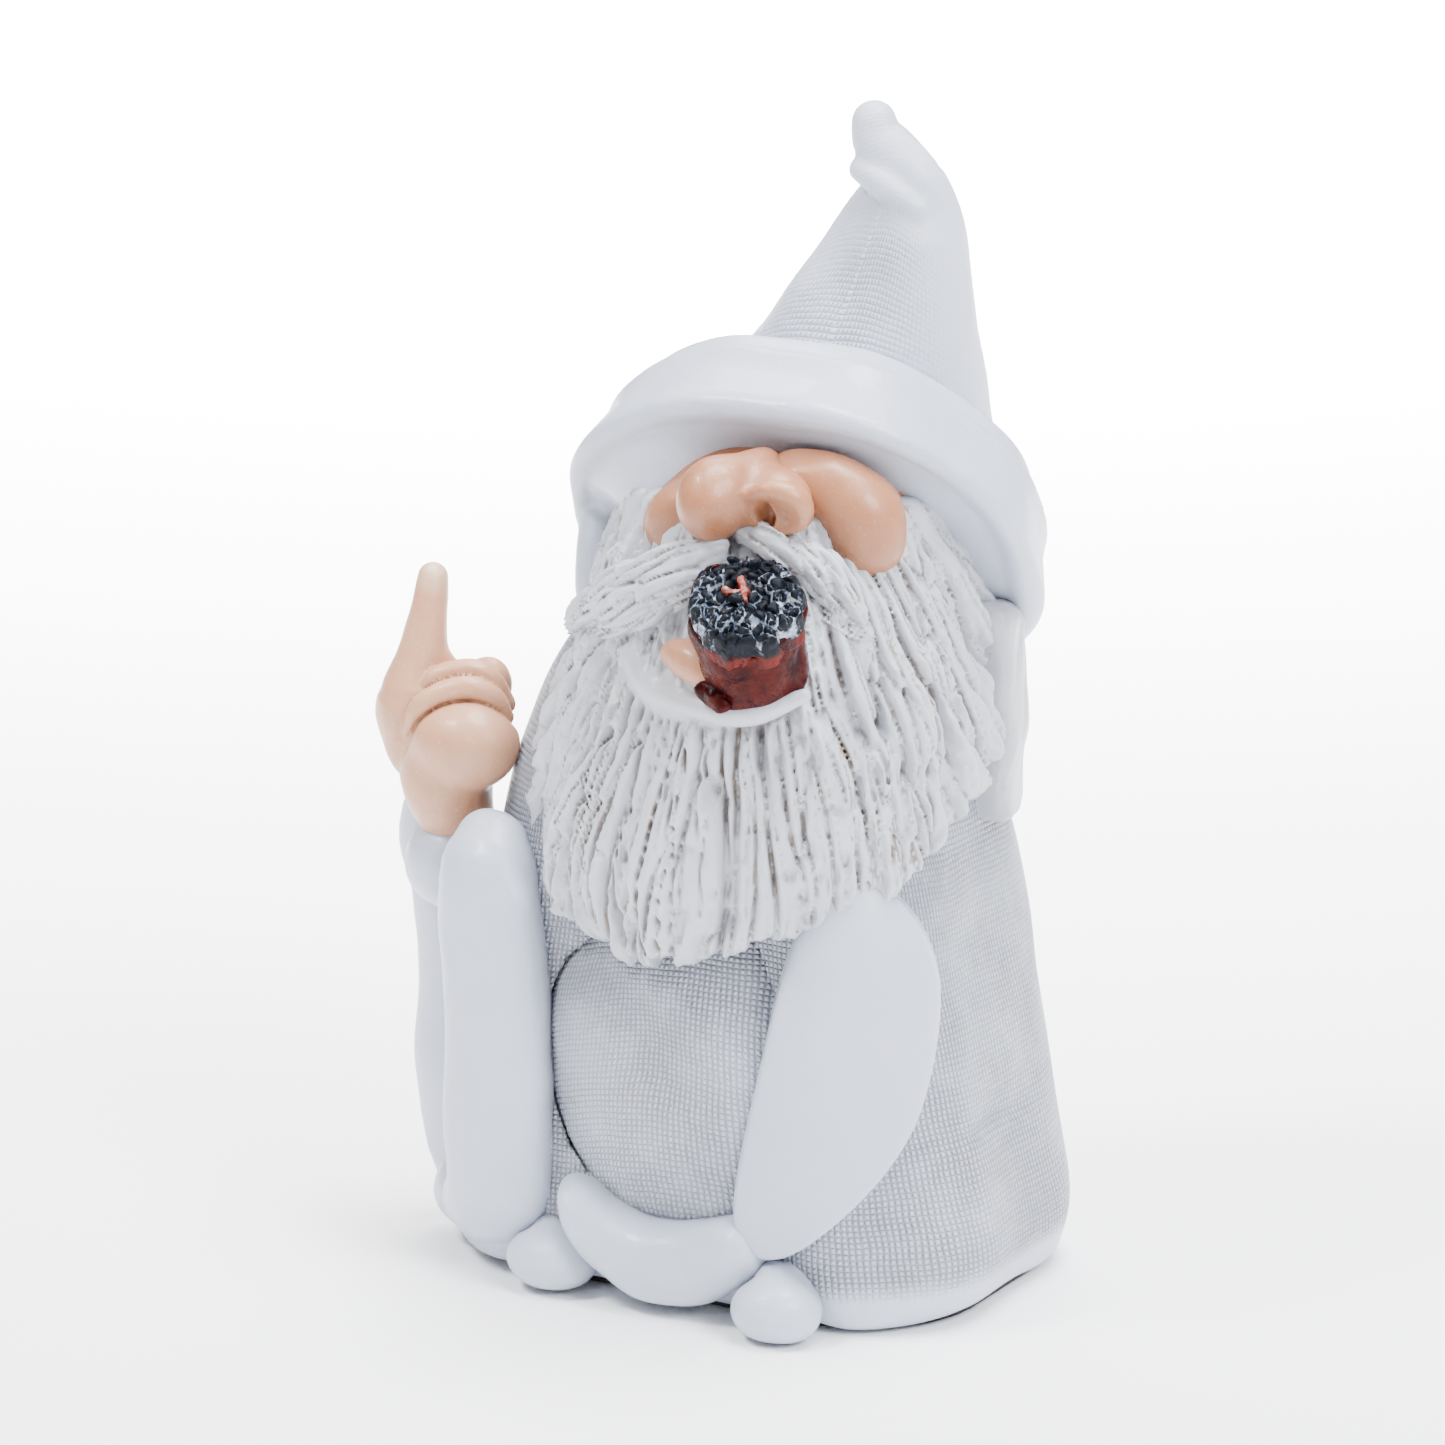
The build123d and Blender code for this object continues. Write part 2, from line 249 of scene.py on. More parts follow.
def surface(field, low, high, step):
    """Points and quads of the field's zero surface inside the box, one point to a crossed cell.

    Only blocks of side steps whose middle is near the surface are filled in.
    """
    low, high = np.asarray(low, F), np.asarray(high, F)
    side = 8
    blocks = np.ceil((high - low) / (side * step)).astype(int)
    axes = [low[i] + (np.arange(blocks[i]) * side + (side - 1) / 2) * step for i in range(3)]
    middles = np.stack(np.meshgrid(*axes, indexing="ij"), -1).astype(F)
    rough = in_chunks(field, middles.reshape(-1, 3)).reshape(blocks)
    chosen = np.argwhere(np.abs(rough) < side * step * 1.25 + 1.2)
    first, last = np.maximum(chosen.min(0) - 1, 0), chosen.max(0) + 2
    rough = rough[first[0]:last[0], first[1]:last[1], first[2]:last[2]]
    chosen, low = chosen - first, low + (first * (side * step)).astype(F)
    f = np.where(rough > 0, F(FAR), F(-FAR))
    for axis in range(3):
        f = np.repeat(f, side, axis=axis)
    offsets = np.stack(np.meshgrid(*[np.arange(side)] * 3, indexing="ij"), -1).reshape(-1, 3)
    where = chosen[:, None, :] * side + offsets[None]
    values = in_chunks(field, (low + where.reshape(-1, 3) * F(step)).astype(F))
    index = where.reshape(-1, 3)
    f[index[:, 0], index[:, 1], index[:, 2]] = values
    f[[0, -1]], f[:, [0, -1]], f[:, :, [0, -1]] = FAR, FAR, FAR
    inside = f < 0
    count = sum(inside[a:inside.shape[0] - 1 + a, b:inside.shape[1] - 1 + b,
                       c:inside.shape[2] - 1 + c].astype(np.int8) for a, b, c in CORNERS)
    active = (count > 0) & (count < 8)
    i, j, k = np.nonzero(active)
    number = np.full(active.shape, -1, np.int64)
    number[i, j, k] = np.arange(len(i))
    total = np.zeros((len(i), 3), F)
    hits = np.zeros(len(i), F)
    for p, q in EDGES:
        fa = f[i + p[0], j + p[1], k + p[2]]
        fb = f[i + q[0], j + q[1], k + q[2]]
        cut = (fa < 0) != (fb < 0)
        t = np.where(cut, fa / np.where(cut, fa - fb, 1), 0)
        point = np.array(p, F) + t[:, None] * (np.array(q, F) - np.array(p, F))
        total += np.where(cut[:, None], point, 0)
        hits += cut
    vertices = low + (np.stack([i, j, k], -1) + total / hits[:, None]) * F(step)
    quads = []
    for axis in range(3):
        a, b = [(1, 2), (2, 0), (0, 1)][axis]
        first = [slice(None)] * 3
        second = [slice(None)] * 3
        first[axis], second[axis] = slice(0, -1), slice(1, None)
        s0, s1 = inside[tuple(first)], inside[tuple(second)]
        e = np.argwhere(s0 != s1)
        e = e[(e[:, a] > 0) & (e[:, b] > 0)]
        e = e[(e[:, a] < active.shape[a]) & (e[:, b] < active.shape[b])]
        starts_in = s0[e[:, 0], e[:, 1], e[:, 2]]
        ring = []
        for da, db in ((-1, -1), (0, -1), (0, 0), (-1, 0)):
            g = e.copy()
            g[:, a] += da
            g[:, b] += db
            ring.append(number[g[:, 0], g[:, 1], g[:, 2]])
        ring = np.stack(ring, -1)
        ring = np.where(starts_in[:, None], ring, ring[:, ::-1])
        quads.append(ring)
    return vertices, np.concatenate(quads)


def normals_of(field, points, reach=0.25):
    """Unit vectors out of the surface."""
    g = np.empty_like(points)
    for axis in range(3):
        step = np.zeros(3, F)
        step[axis] = reach
        g[:, axis] = in_chunks(field, points + step) - in_chunks(field, points - step)
    return g / np.maximum(np.linalg.norm(g, axis=1, keepdims=True), 1e-9)


def add_object(name, data):
    item = bpy.data.objects.new(name, data)
    bpy.context.scene.collection.objects.link(item)
    return item


def mesh_object(name, points, faces, layers):
    """A smooth mesh from points in millimetres, with the layers' values on them."""
    mesh = bpy.data.meshes.new(name)
    faces = np.asarray(faces)
    mesh.vertices.add(len(points))
    mesh.vertices.foreach_set("co", (np.asarray(points, float) * MM).astype(F).ravel())
    mesh.loops.add(faces.size)
    mesh.loops.foreach_set("vertex_index", faces.ravel().astype(np.int32))
    mesh.polygons.add(len(faces))
    width = faces.shape[1]
    mesh.polygons.foreach_set("loop_start", np.arange(0, faces.size, width, dtype=np.int32))
    mesh.polygons.foreach_set("loop_total", np.full(len(faces), width, np.int32))
    mesh.polygons.foreach_set("use_smooth", np.ones(len(faces), bool))
    mesh.update(calc_edges=True)
    mesh.validate()
    for key, values in layers.items():
        values = np.asarray(values, F)
        kind = "FLOAT" if values.ndim == 1 else "FLOAT_VECTOR"
        layer = mesh.attributes.new(key, kind, "POINT")
        layer.data.foreach_set("value" if kind == "FLOAT" else "vector", values.ravel())
    return add_object(name, mesh)


def stand_for(item, node, slot):
    """Paint a piece and make it the one that stands for its node."""
    item.data.materials.append(PAINTS[slot])
    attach(item, "root")
    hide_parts(node)


def sculpt(name, node, slot, field, step, layers=None, crease=(0.9, 0.45), margin=9.0):
    """Mesh a field around its node's box. Clay is felt for at both crease distances off it; how closed in
    each point is goes to the crease layer, which the paints darken as painted shade.
    """
    low, high = box_mm(node)
    points, quads = surface(field, low - F(margin), high + F(margin), step)
    outward = normals_of(field, points)
    open_far, open_near = (in_chunks(field, points + outward * F(reach)) / F(reach) for reach in crease)
    # Occlusion measure: near 1 where clay closes round a point, the mask for painted shade in the paints.
    extra = {"crease": np.clip(1 - 0.5 * (open_far + open_near), 0, 1)}
    for key, maker in (layers or {}).items():
        extra[key] = maker(points)
    stand_for(mesh_object(name, points, quads, extra), node, slot)


# --- materials
# The inputs and the output of a colour Mix node, by place, because several share one name.
MIX_SHARE, MIX_A, MIX_B, MIX_RESULT = 0, 6, 7, 2


class Paint:
    """A small helper that builds one Principled material from procedural nodes."""

    def __init__(self, name, roughness, coat=0.0, scatter=0.0, specular=0.5):
        self.material = bpy.data.materials.new(name)
        self.material.use_nodes = True
        self.tree = self.material.node_tree
        self.shader = next(n for n in self.tree.nodes if n.type == "BSDF_PRINCIPLED")
        settings = {"Roughness": roughness, "Coat Weight": coat, "Specular IOR Level": specular,
                    "Subsurface Weight": scatter, "Subsurface Radius": (1.0, 0.6, 0.4),
                    "Subsurface Scale": 2.5 * MM}
        for key, value in settings.items():
            self.shader.inputs[key].default_value = value
        self.place = self.add("ShaderNodeNewGeometry").outputs["Position"]
        self.height = None

    def link(self, source, target):
        self.tree.links.new(source, target)

    def feed(self, target, value):
        """Link another node's output, or set a plain value."""
        if hasattr(value, "is_linked"):
            self.link(value, target)
        else:
            target.default_value = value

    def add(self, kind, **inputs):
        node = self.tree.nodes.new(kind)
        for key, value in inputs.items():
            self.feed(node.inputs[key], value)
        return node

    def math(self, operation, *values):
        node = self.tree.nodes.new("ShaderNodeMath")
        node.operation = operation
        for target, value in zip(node.inputs, values):
            self.feed(target, value)
        return node.outputs[0]

    def attribute(self, name, part="Fac"):
        node = self.tree.nodes.new("ShaderNodeAttribute")
        node.attribute_name = name
        return node.outputs[part]

    def noise(self, per_mm, detail=3.0, rough=0.5, distortion=0.0):
        node = self.add("ShaderNodeTexNoise", Vector=self.place, Scale=per_mm * PER_METRE, Detail=detail,
                        Roughness=rough, Distortion=distortion)
        return node.outputs["Fac"]

    def spread(self, value, low, high, to_low=0.0, to_high=1.0):
        limits = {"From Min": low, "From Max": high, "To Min": to_low, "To Max": to_high}
        return self.add("ShaderNodeMapRange", **limits, Value=value).outputs["Result"]

    def mix(self, share, a, b):
        node = self.tree.nodes.new("ShaderNodeMix")
        node.data_type = "RGBA"
        self.feed(node.inputs[MIX_SHARE], share)
        for key, colour in ((MIX_A, a), (MIX_B, b)):
            self.feed(node.inputs[key], (*colour, 1.0) if isinstance(colour, tuple) else colour)
        return node.outputs[MIX_RESULT]

    def bump(self, height, depth_mm, strength=1.0):
        node = self.tree.nodes.new("ShaderNodeBump")
        node.inputs["Strength"].default_value = strength
        node.inputs["Distance"].default_value = depth_mm * MM
        self.link(height, node.inputs["Height"])
        if self.height is not None:
            self.link(self.height, node.inputs["Normal"])
        self.height = node.outputs["Normal"]

    def wear(self, per_mm, low, high, start=0.3, end=0.7):
        """Roughness that wanders between low and high."""
        rough = self.spread(self.noise(per_mm), start, end, low, high)
        self.link(rough, self.shader.inputs["Roughness"])

    def done(self, colour):
        self.link(colour, self.shader.inputs["Base Color"])
        if self.height is not None:
            self.link(self.height, self.shader.inputs["Normal"])
        return self.material


def weave(paint, depth):
    """Bumps between crossing threads, placed by the weave layer. Returns the grooves' share, which is painted
    as shade.
    """
    split = paint.tree.nodes.new("ShaderNodeSeparateXYZ")
    paint.link(paint.attribute("weave", "Vector"), split.inputs[0])
    wander = paint.math("MULTIPLY", paint.math("SUBTRACT", paint.noise(0.12, 2.0), 0.5), 1.6)
    u = paint.math("ADD", split.outputs[0], wander)
    v = paint.math("ADD", split.outputs[1], paint.math("MULTIPLY", wander, 0.7))
    across = paint.math("ABSOLUTE", paint.math("SINE", paint.math("MULTIPLY", u, math.pi)))
    along = paint.math("ABSOLUTE", paint.math("SINE", paint.math("MULTIPLY", v, math.pi)))
    bumps = paint.math("MULTIPLY", paint.math("POWER", across, 0.85), paint.math("POWER", along, 0.6))
    filled = paint.spread(paint.noise(0.09, 3.0, 0.6), 0.36, 0.6, 0.68, 1.0)
    share = paint.math("MULTIPLY", filled, split.outputs[2])
    paint.bump(paint.math("MULTIPLY", bumps, share), depth)
    return paint.math("MULTIPLY", paint.math("SUBTRACT", 1.0, bumps), share)


def white(name, roughness, tone, shade, shade_and_dirt, shade_and_dirt_share, woven=0.0, grain=0.05, lumps=0.10):
    paint = Paint(name, roughness, coat=0.10)
    patches = paint.noise(0.045, 4.0, 0.55)
    colour = paint.mix(paint.spread(patches, 0.3, 0.7), tone, shade)
    paint.bump(paint.noise(0.35, 3.0), lumps)
    paint.bump(paint.noise(2.6, 2.0, 0.6), grain)
    pits = paint.add("ShaderNodeTexVoronoi", Vector=paint.place, Scale=420.0).outputs["Distance"]
    paint.bump(paint.spread(pits, 0.02, 0.11), 0.10, 0.6)
    if woven:
        # Painted shade: the weave's grooves are darkened towards grey.
        groove_shade = weave(paint, woven)
        colour = paint.mix(paint.math("MULTIPLY", groove_shade, 0.70), colour, (0.22, 0.21, 0.235))
    # Painted shade: creases and hollows, found by the crease layer, are mixed towards the crease colour; for
    # the beard this beige also stands for a tint in its grooves.
    crease = paint.spread(paint.attribute("crease"), 0.25, 0.95)
    blotch = paint.spread(paint.noise(0.22, 3.0, 0.6), 0.35, 0.65, 0.25, 1.0)
    share = paint.math("MULTIPLY", paint.math("MULTIPLY", crease, blotch), shade_and_dirt_share)
    colour = paint.mix(share, colour, shade_and_dirt)
    paint.wear(0.5, roughness - 0.07, roughness + 0.09)
    return paint.done(colour)


def skin(name, tone, shade, pale, roughness=0.42):
    paint = Paint(name, roughness, coat=0.12, scatter=0.12)
    patches = paint.noise(0.09, 3.0, 0.55)
    colour = paint.mix(paint.spread(patches, 0.3, 0.7), tone, shade)
    paint.bump(paint.noise(0.5, 3.0), 0.08)
    paint.bump(paint.noise(3.0, 2.0), 0.04)
    speck = paint.spread(paint.noise(1.6, 2.0, 0.6), 0.63, 0.72, 0.0, 0.35)
    colour = paint.mix(speck, colour, pale)
    # Painted shade: creases and hollows, found by the crease layer, are darkened towards brown.
    crease = paint.spread(paint.attribute("crease"), 0.18, 0.85, 0.0, 0.75)
    colour = paint.mix(crease, colour, (0.27, 0.10, 0.05))
    # Paler where the pale layer is high, as at the fingertip.
    pale_share = paint.spread(paint.attribute("pale"), 0.0, 1.0, 0.0, 0.8)
    colour = paint.mix(pale_share, colour, pale)
    paint.wear(0.6, roughness - 0.08, roughness + 0.08)
    return paint.done(colour)


def cigar_brown(name):
    paint = Paint(name, 0.3, specular=0.06)
    patches = paint.noise(0.22, 4.0, 0.6, 0.6)
    colour = paint.mix(paint.spread(patches, 0.42, 0.62), (0.048, 0.0055, 0.004), (0.014, 0.0012, 0.0018))
    warm = paint.spread(paint.noise(0.5, 3.0, 0.6), 0.5, 0.7, 0.0, 0.5)
    colour = paint.mix(warm, colour, (0.085, 0.013, 0.007))
    paint.bump(paint.noise(0.35, 3.0), 0.25)
    paint.bump(paint.noise(2.2, 3.0), 0.05)
    paint.wear(0.8, 0.2, 0.45, 0.35, 0.65)
    return paint.done(colour)


def ash_black(name):
    paint = Paint(name, 0.5, specular=0.10)
    grains = paint.noise(1.5, 3.0, 0.6)
    colour = paint.mix(paint.spread(grains, 0.35, 0.65), (0.0015, 0.002, 0.003), (0.006, 0.008, 0.014))
    broken = paint.spread(paint.noise(0.9, 2.0, 0.6), 0.38, 0.52)
    vein = paint.math("MULTIPLY", paint.spread(paint.attribute("vein"), 0.25, 0.75), broken)
    pale = paint.mix(paint.spread(paint.noise(1.2, 2.0), 0.4, 0.6), (0.50, 0.54, 0.60), (0.16, 0.22, 0.32))
    colour = paint.mix(vein, colour, pale)
    colour = paint.mix(paint.attribute("glow"), colour, (0.10, 0.012, 0.008))
    paint.bump(grains, 0.15)
    return paint.done(colour)


def ember_red(name):
    paint = Paint(name, 0.35, coat=0.2)
    patches = paint.noise(1.6, 3.0)
    colour = paint.mix(paint.spread(patches, 0.4, 0.6), (0.30, 0.042, 0.018), (0.10, 0.016, 0.010))
    paint.bump(paint.noise(2.5, 3.0), 0.15)
    return paint.done(colour)


def plain(name, tone, shade, roughness, metallic=0.0):
    paint = Paint(name, roughness)
    paint.shader.inputs["Metallic"].default_value = metallic
    colour = paint.mix(paint.spread(paint.noise(0.8, 3.0), 0.3, 0.7), tone, shade)
    paint.bump(paint.noise(2.0, 3.0), 0.06)
    return paint.done(colour)


PAINTS = {
    # Whites: name, roughness, tone, second tone, crease colour and its share, weave depth. The crease colour
    # is painted shade in creases; the hair's beige stands also for a tint in the beard's grooves.
    "white_cloth": white("white cloth", 0.52, (0.53, 0.565, 0.655), (0.465, 0.495, 0.58),
                         (0.25, 0.23, 0.24), 0.5, woven=0.6),
    "white_smooth": white("white smooth", 0.38, (0.48, 0.515, 0.60), (0.43, 0.46, 0.54),
                          (0.25, 0.24, 0.26), 0.5),
    "white_hair": white("white hair", 0.40, (0.50, 0.515, 0.56), (0.43, 0.44, 0.475),
                        (0.19, 0.145, 0.11), 0.95),
    "face_paint": skin("face paint", (0.40, 0.170, 0.083), (0.31, 0.118, 0.053), (0.53, 0.30, 0.185)),
    "lip_paint": skin("lip paint", (0.44, 0.20, 0.11), (0.36, 0.14, 0.07), (0.56, 0.34, 0.23)),
    "hand_paint": skin("hand paint", (0.55, 0.29, 0.17), (0.47, 0.225, 0.125), (0.64, 0.47, 0.31)),
    "wrapper": cigar_brown("wrapper"),
    "ash": ash_black("ash"),
    "ember": ember_red("ember"),
    "pin_steel": plain("pin steel", (0.45, 0.45, 0.47), (0.35, 0.35, 0.37), 0.35, 1.0),
    "plate_resin": plain("plate resin", (0.60, 0.58, 0.56), (0.52, 0.50, 0.48), 0.7),
    "pad": plain("pad", (0.020, 0.018, 0.020), (0.035, 0.03, 0.032), 0.85),
}


# --- robe, belly, hem and shoes
def slow(p, per_mm, seed, amount):
    """Slow unevenness of a hand-made surface."""
    q = p * F(per_mm)
    return noise(q[..., 0], q[..., 1], q[..., 2], seed) * F(amount)


ROBE_Z = (1.5, 5.0, 10.0, 20.0, 35.0, 50.0, 65.0, 78.0, 86.0)
ROBE_X = (36.6, 38.2, 38.6, 36.8, 34.2, 32.0, 28.8, 24.0, 18.0)
ROBE_Y = (24.6, 26.0, 26.6, 26.2, 25.2, 23.8, 21.5, 18.5, 14.0)
ROBE_TOP = 85
ROBE_MIDDLE = at("robe_shell", 0.0, 0.0, 0.3)
CORNER_SHARE = F(0.66)  # the corner radius, as a share of half the depth


def robe_base(p):
    """The robe's bell without folds and dents."""
    q = p - ROBE_MIDDLE
    wide, deep = ramp(p[..., 2], ROBE_Z, ROBE_X), ramp(p[..., 2], ROBE_Z, ROBE_Y)
    return rounded_box(q[..., 0], q[..., 1], wide, deep, deep * CORNER_SHARE)


def robe_field(p):
    d = robe_base(p) * F(0.98) + slow(p, 0.045, 3, 1.0) + slow(p, 0.11, 4, 0.35)
    right_front = np.clip((p[..., 0] - 8) / 12, 0, 1) * np.clip(-p[..., 1] / 10, 0, 1)
    d = d + F(0.5) * right_front * np.sin(p[..., 0] * 0.42 + p[..., 2] * 0.05)
    dent = np.exp(-((p - at("robe_shell", 36.0, -3.0, -18.7)) ** 2 / vec(90, 60, 9)).sum(-1))
    d = d + F(0.9) * dent + F(0.35) * dent * np.sin(p[..., 2] * 2.1 + p[..., 0] * 0.4)
    d = smax(d, F(0.3) - belly_field(p), 0.4)
    d = smax(d, p[..., 2] - ROBE_TOP, 3.0)
    hem = 0.9 + F(0.5) * noise(p[..., 0] * 0.11, p[..., 1] * 0.11, F(0), 9)
    return smax(d, hem - p[..., 2], 2.0)


def around_robe(p):
    """The way round the robe from the middle of its front."""
    x, y = p[:, 0], p[:, 1]
    core_x, core_y, corner = 19.0, 9.0, 17.0
    turn = np.arctan2(np.maximum(np.abs(x) - core_x, 0), np.maximum(np.abs(y) - core_y, 1e-3))
    s = np.minimum(np.abs(x), core_x) + corner * turn
    side = core_x + corner * np.pi / 2
    s = np.where(np.abs(y) < core_y, side + core_y - np.abs(y), s)
    return np.where(y > 0, 2 * (side + core_y) - s, s)


PITCH = 0.74  # from one thread of the cloth imprint to the next, in millimetres


def robe_weave(p):
    s = around_robe(p)
    z = p[:, 2]
    mask = np.clip((z - 4.5) / 3, 0, 1)
    s = s * (1 + 0.0022 * (z - 20)) + 0.5 * noise(s * 0.06, z * 0.06, F(0), 21)
    return np.stack([s / PITCH, (z + 0.02 * s) / PITCH, mask], -1)


BELLY = at("belly_panel", 1.1, 13.6, -2.3)
BELLY_BACK = F(-14)


def belly_field(p):
    d = blob(p, BELLY, (21.4, 17.4, 27.5))
    q = p - BELLY
    fold = q[..., 0] * 0.62 + q[..., 2] * 0.78
    d = d + F(0.75) * np.exp(-((fold - 5.5) / 3.4) ** 2) * np.clip((12 - q[..., 0]) / 14, 0, 1)
    d = d - F(0.6) * np.exp(-((fold + 4) / 5.0) ** 2) + slow(p, 0.09, 14, 0.5)
    d = smax(d, at("belly_panel", -0.5, 27.8, -23.8)[2] - p[..., 2], 2.0)
    return smax(d, p[..., 1] - BELLY_BACK, 1.0)


def belly_weave(p):
    q = p - BELLY
    bend = 0.030 * (q[:, 2] ** 2) * 0.2 + 0.9 * noise(q[:, 0] * 0.07, q[:, 2] * 0.07, F(0), 31)
    u = q[:, 0] * 1.05 + 0.006 * q[:, 0] * q[:, 2] + bend * 0.5
    v = q[:, 2] + 0.012 * q[:, 0] ** 2 - 0.09 * q[:, 0] + bend
    return np.stack([u / PITCH, v / PITCH, np.ones(len(p))], -1)


# The hem's crescent as the front shows it: across and up from its box's middle.
HEM = ((-12.7, 5.1), (-9.8, 4.3), (-6.6, 2.8), (-2.6, 1.9), (1.7, 1.8), (6.7, 2.7), (11.3, 4.4),
       (14.4, 3.1), (15.6, -0.5), (13.9, -3.5), (10.2, -6.3), (6.7, -8.6), (2.4, -9.6), (-2.6, -9.2),
       (-6.6, -7.8), (-10.5, -5.5), (-13.6, -2.1), (-15.0, 1.4), (-14.8, 4.1))
HEM_ROUNDING = 4.6


def hem_field(p):
    edge = outline((p - at("front_hem", 0, 0, 0))[..., ::2], HEM)
    out = (at("front_hem", -2.0, 3.8, -10.5)[1] - p[..., 1]) * F(0.86)
    d = np.hypot(np.maximum(edge + HEM_ROUNDING, 0), np.maximum(out, 0)) - HEM_ROUNDING
    d = smax(d, -out - 6, 1.0)
    return smax(d + slow(p, 0.13, 40, 0.5) + slow(p, 0.3, 41, 0.15), F(0.9) - p[..., 2], 1.4)


def shoe_field(c, seed):
    """A round toe with its ball at c."""
    def field(p):
        d = rod(p, c + vec(0, 9, 0.5), c, 4.6, 3.6)
        d = smin(d, blob(p, c + vec(0, 0.8, -0.8), (5.9, 5.2, 4.3)), 1.0)
        ridge = rod(p, c + vec(-1.0, 1.8, 3.2), c + vec(0.3, 0.4, 0.0), 1.6, 3.6)
        d = smin(d, ridge, 1.8)
        return smax(d + slow(p, 0.2, seed, 0.4), F(0.3) - p[..., 2], 1.0)
    return field


# --- sleeves
def sleeve_field(p):
    n = "right_sleeve"
    d = rod(p, at(n, 5.6, 8.5, -18.6), at(n, 3.1, 6.5, 14.9), 10.5, 7.6)
    d = smin(d, blob(p, at(n, 4.6, -1.5, -25.5), (9.0, 9.0, 6.2)), 3.0)
    d = smin(d, blob(p, at(n, -2.1, -1.9, 17.9), (6.4, 5.6, 6.2)), 2.0)
    d = d + slow(p, 0.08, 51, 0.8)
    return smax(d, F(1.4) - p[..., 2], 1.6)


def lobe(p, node, points, radii, seed, stretch, flat):
    """A long roll of the cuff, stretched across and cut off behind."""
    squash = vec(stretch, 1.0, 1.0)
    d = rope(p * squash, [at(node, *c) * squash for c in points], radii)
    d = smax(d, at(node, 0, flat, 0)[1] - p[..., 1], 3.0)
    d = d + slow(p, 0.09, seed, 0.7) + slow(p, 0.22, seed + 1, 0.22)
    return smax(d, F(1.2) - p[..., 2], 1.6)


def inner_field(p):
    points = [(-0.7, 0.2, 22.7), (0.1, -2.2, 18.2), (2.5, -4.4, 3.7), (2.7, -4.6, -12.3),
              (2.1, -3.0, -21.8), (-1.7, 1.6, -25.9)]
    return lobe(p, "right_cuff_inner", points, [4.2, 5.4, 5.8, 5.9, 5.8, 5.6], 61, 0.78, -8.8)


def outer_field(p):
    points = [(-2.2, 5.8, 23.6), (-2.0, 6.0, 18.6), (-0.5, 7.0, 6.6), (-0.2, 7.6, -9.4),
              (2.0, 6.6, -19.9), (6.9, 4.4, -24.6)]
    return lobe(p, "right_cuff_outer", points, [4.4, 5.2, 5.0, 5.3, 5.9, 5.6], 71, 0.94, 2.2)


# The leaf as it hangs in front of the robe: across and up from its box's middle.
LEAF = ((3.2, 22.8), (8.1, 17.8), (10.7, 11.3), (10.9, 5.3), (9.7, -1.7), (7.3, -8.1), (2.3, -14.7),
        (-3.9, -20.7), (-8.4, -24.1), (-12.0, -24.7), (-14.2, -22.7), (-14.7, -18.7), (-13.9, -12.2),
        (-12.4, -4.7), (-10.5, 3.8), (-8.8, 11.3), (-6.4, 17.8), (-2.9, 22.8))


def leaf_field(p):
    q = p - at("left_sleeve", 0, 0, 0)
    across, z = q[..., 0] * F(0.866) + q[..., 1] * F(0.5), q[..., 2]
    edge = outline(np.stack([across, z], -1), LEAF)
    crown = F(4.2) - F(0.9) * np.clip(1 + edge / 6, 0, 1) ** 2
    plump = F(0.9) * np.exp(-((across + 2.4) / 9) ** 2 - ((z - 11.3) / 10) ** 2)
    robe = robe_base(p)
    shell = robe - crown - plump + slow(p, 0.1, 81, 0.3)
    return smax(smax(edge + 0.1, shell, 0.9), robe * -1 - 5, 1.0)


# --- hand
def hand_field(p):
    n = "right_hand"
    finger = spots(n, (-7.4, 3.2, -2.3), (-6.5, 3.5, 3.7), (-6.0, 4.0, 8.7), (-5.8, 5.0, 13.8))
    d = smin(blob(p, at(n, -5.2, 4.5, -5.5), (7.3, 6.5, 8.8)), rope(p, finger, [5.0, 3.3, 2.5, 2.0]), 2.4)
    d = smin(d, blob(p, at(n, 1.2, 6.6, 0.2), (3.4, 2.8, 3.6)), 0.5)
    outer = rope(p, spots(n, (-6.6, 0.6, -2.2), (-3.2, 1.0, 1.6), (0.1, 3.0, 2.4), (2.8, 4.4, 1.2),
                          (4.5, 5.4, -1.6)), [0.9, 1.6, 1.9, 2.0, 1.6])
    inner = rope(p, spots(n, (-6.0, -1.6, -5.4), (-4.0, -1.6, -1.8), (-1.5, -0.4, 0.2), (1.6, 1.4, 0.8),
                          (4.2, 3.0, -0.4), (5.5, 3.8, -3.0)),
                 [0.8, 1.5, 1.8, 1.9, 1.8, 1.4])
    heel = blob(p, at(n, 1.2, 1.0, -6.2), (7.4, 5.9, 6.1))
    heel = smin(heel, blob(p, at(n, -1.8, 1.0, -11.6), (5.4, 4.8, 6.4)), 1.2)
    heel = smin(heel, rod(p, at(n, -2.8, 2.5, -9.8), at(n, -1.4, 4.2, -19.8), 5.6, 4.4), 2.0)
    crease = np.zeros(d.shape, F)
    for part in (outer, inner, heel):
        seam = np.clip(1 - np.abs(part - d) / 0.9, 0, 1)
        d = np.minimum(part, d)
        crease = np.maximum(crease, seam * np.clip(1 - np.abs(d) / 1.2, 0, 1))
    return d + F(0.5) * crease + slow(p, 0.25, 91, 0.2)


def hand_pale(p):
    tip = at("right_hand", -4.8, 3.2, 15.2)
    return np.clip(1.15 - np.linalg.norm(p - tip, axis=1) / 3.2, 0, 1)


# --- head, nose and lip
HEAD = at("head", 0.0, 0.0, 0.0)


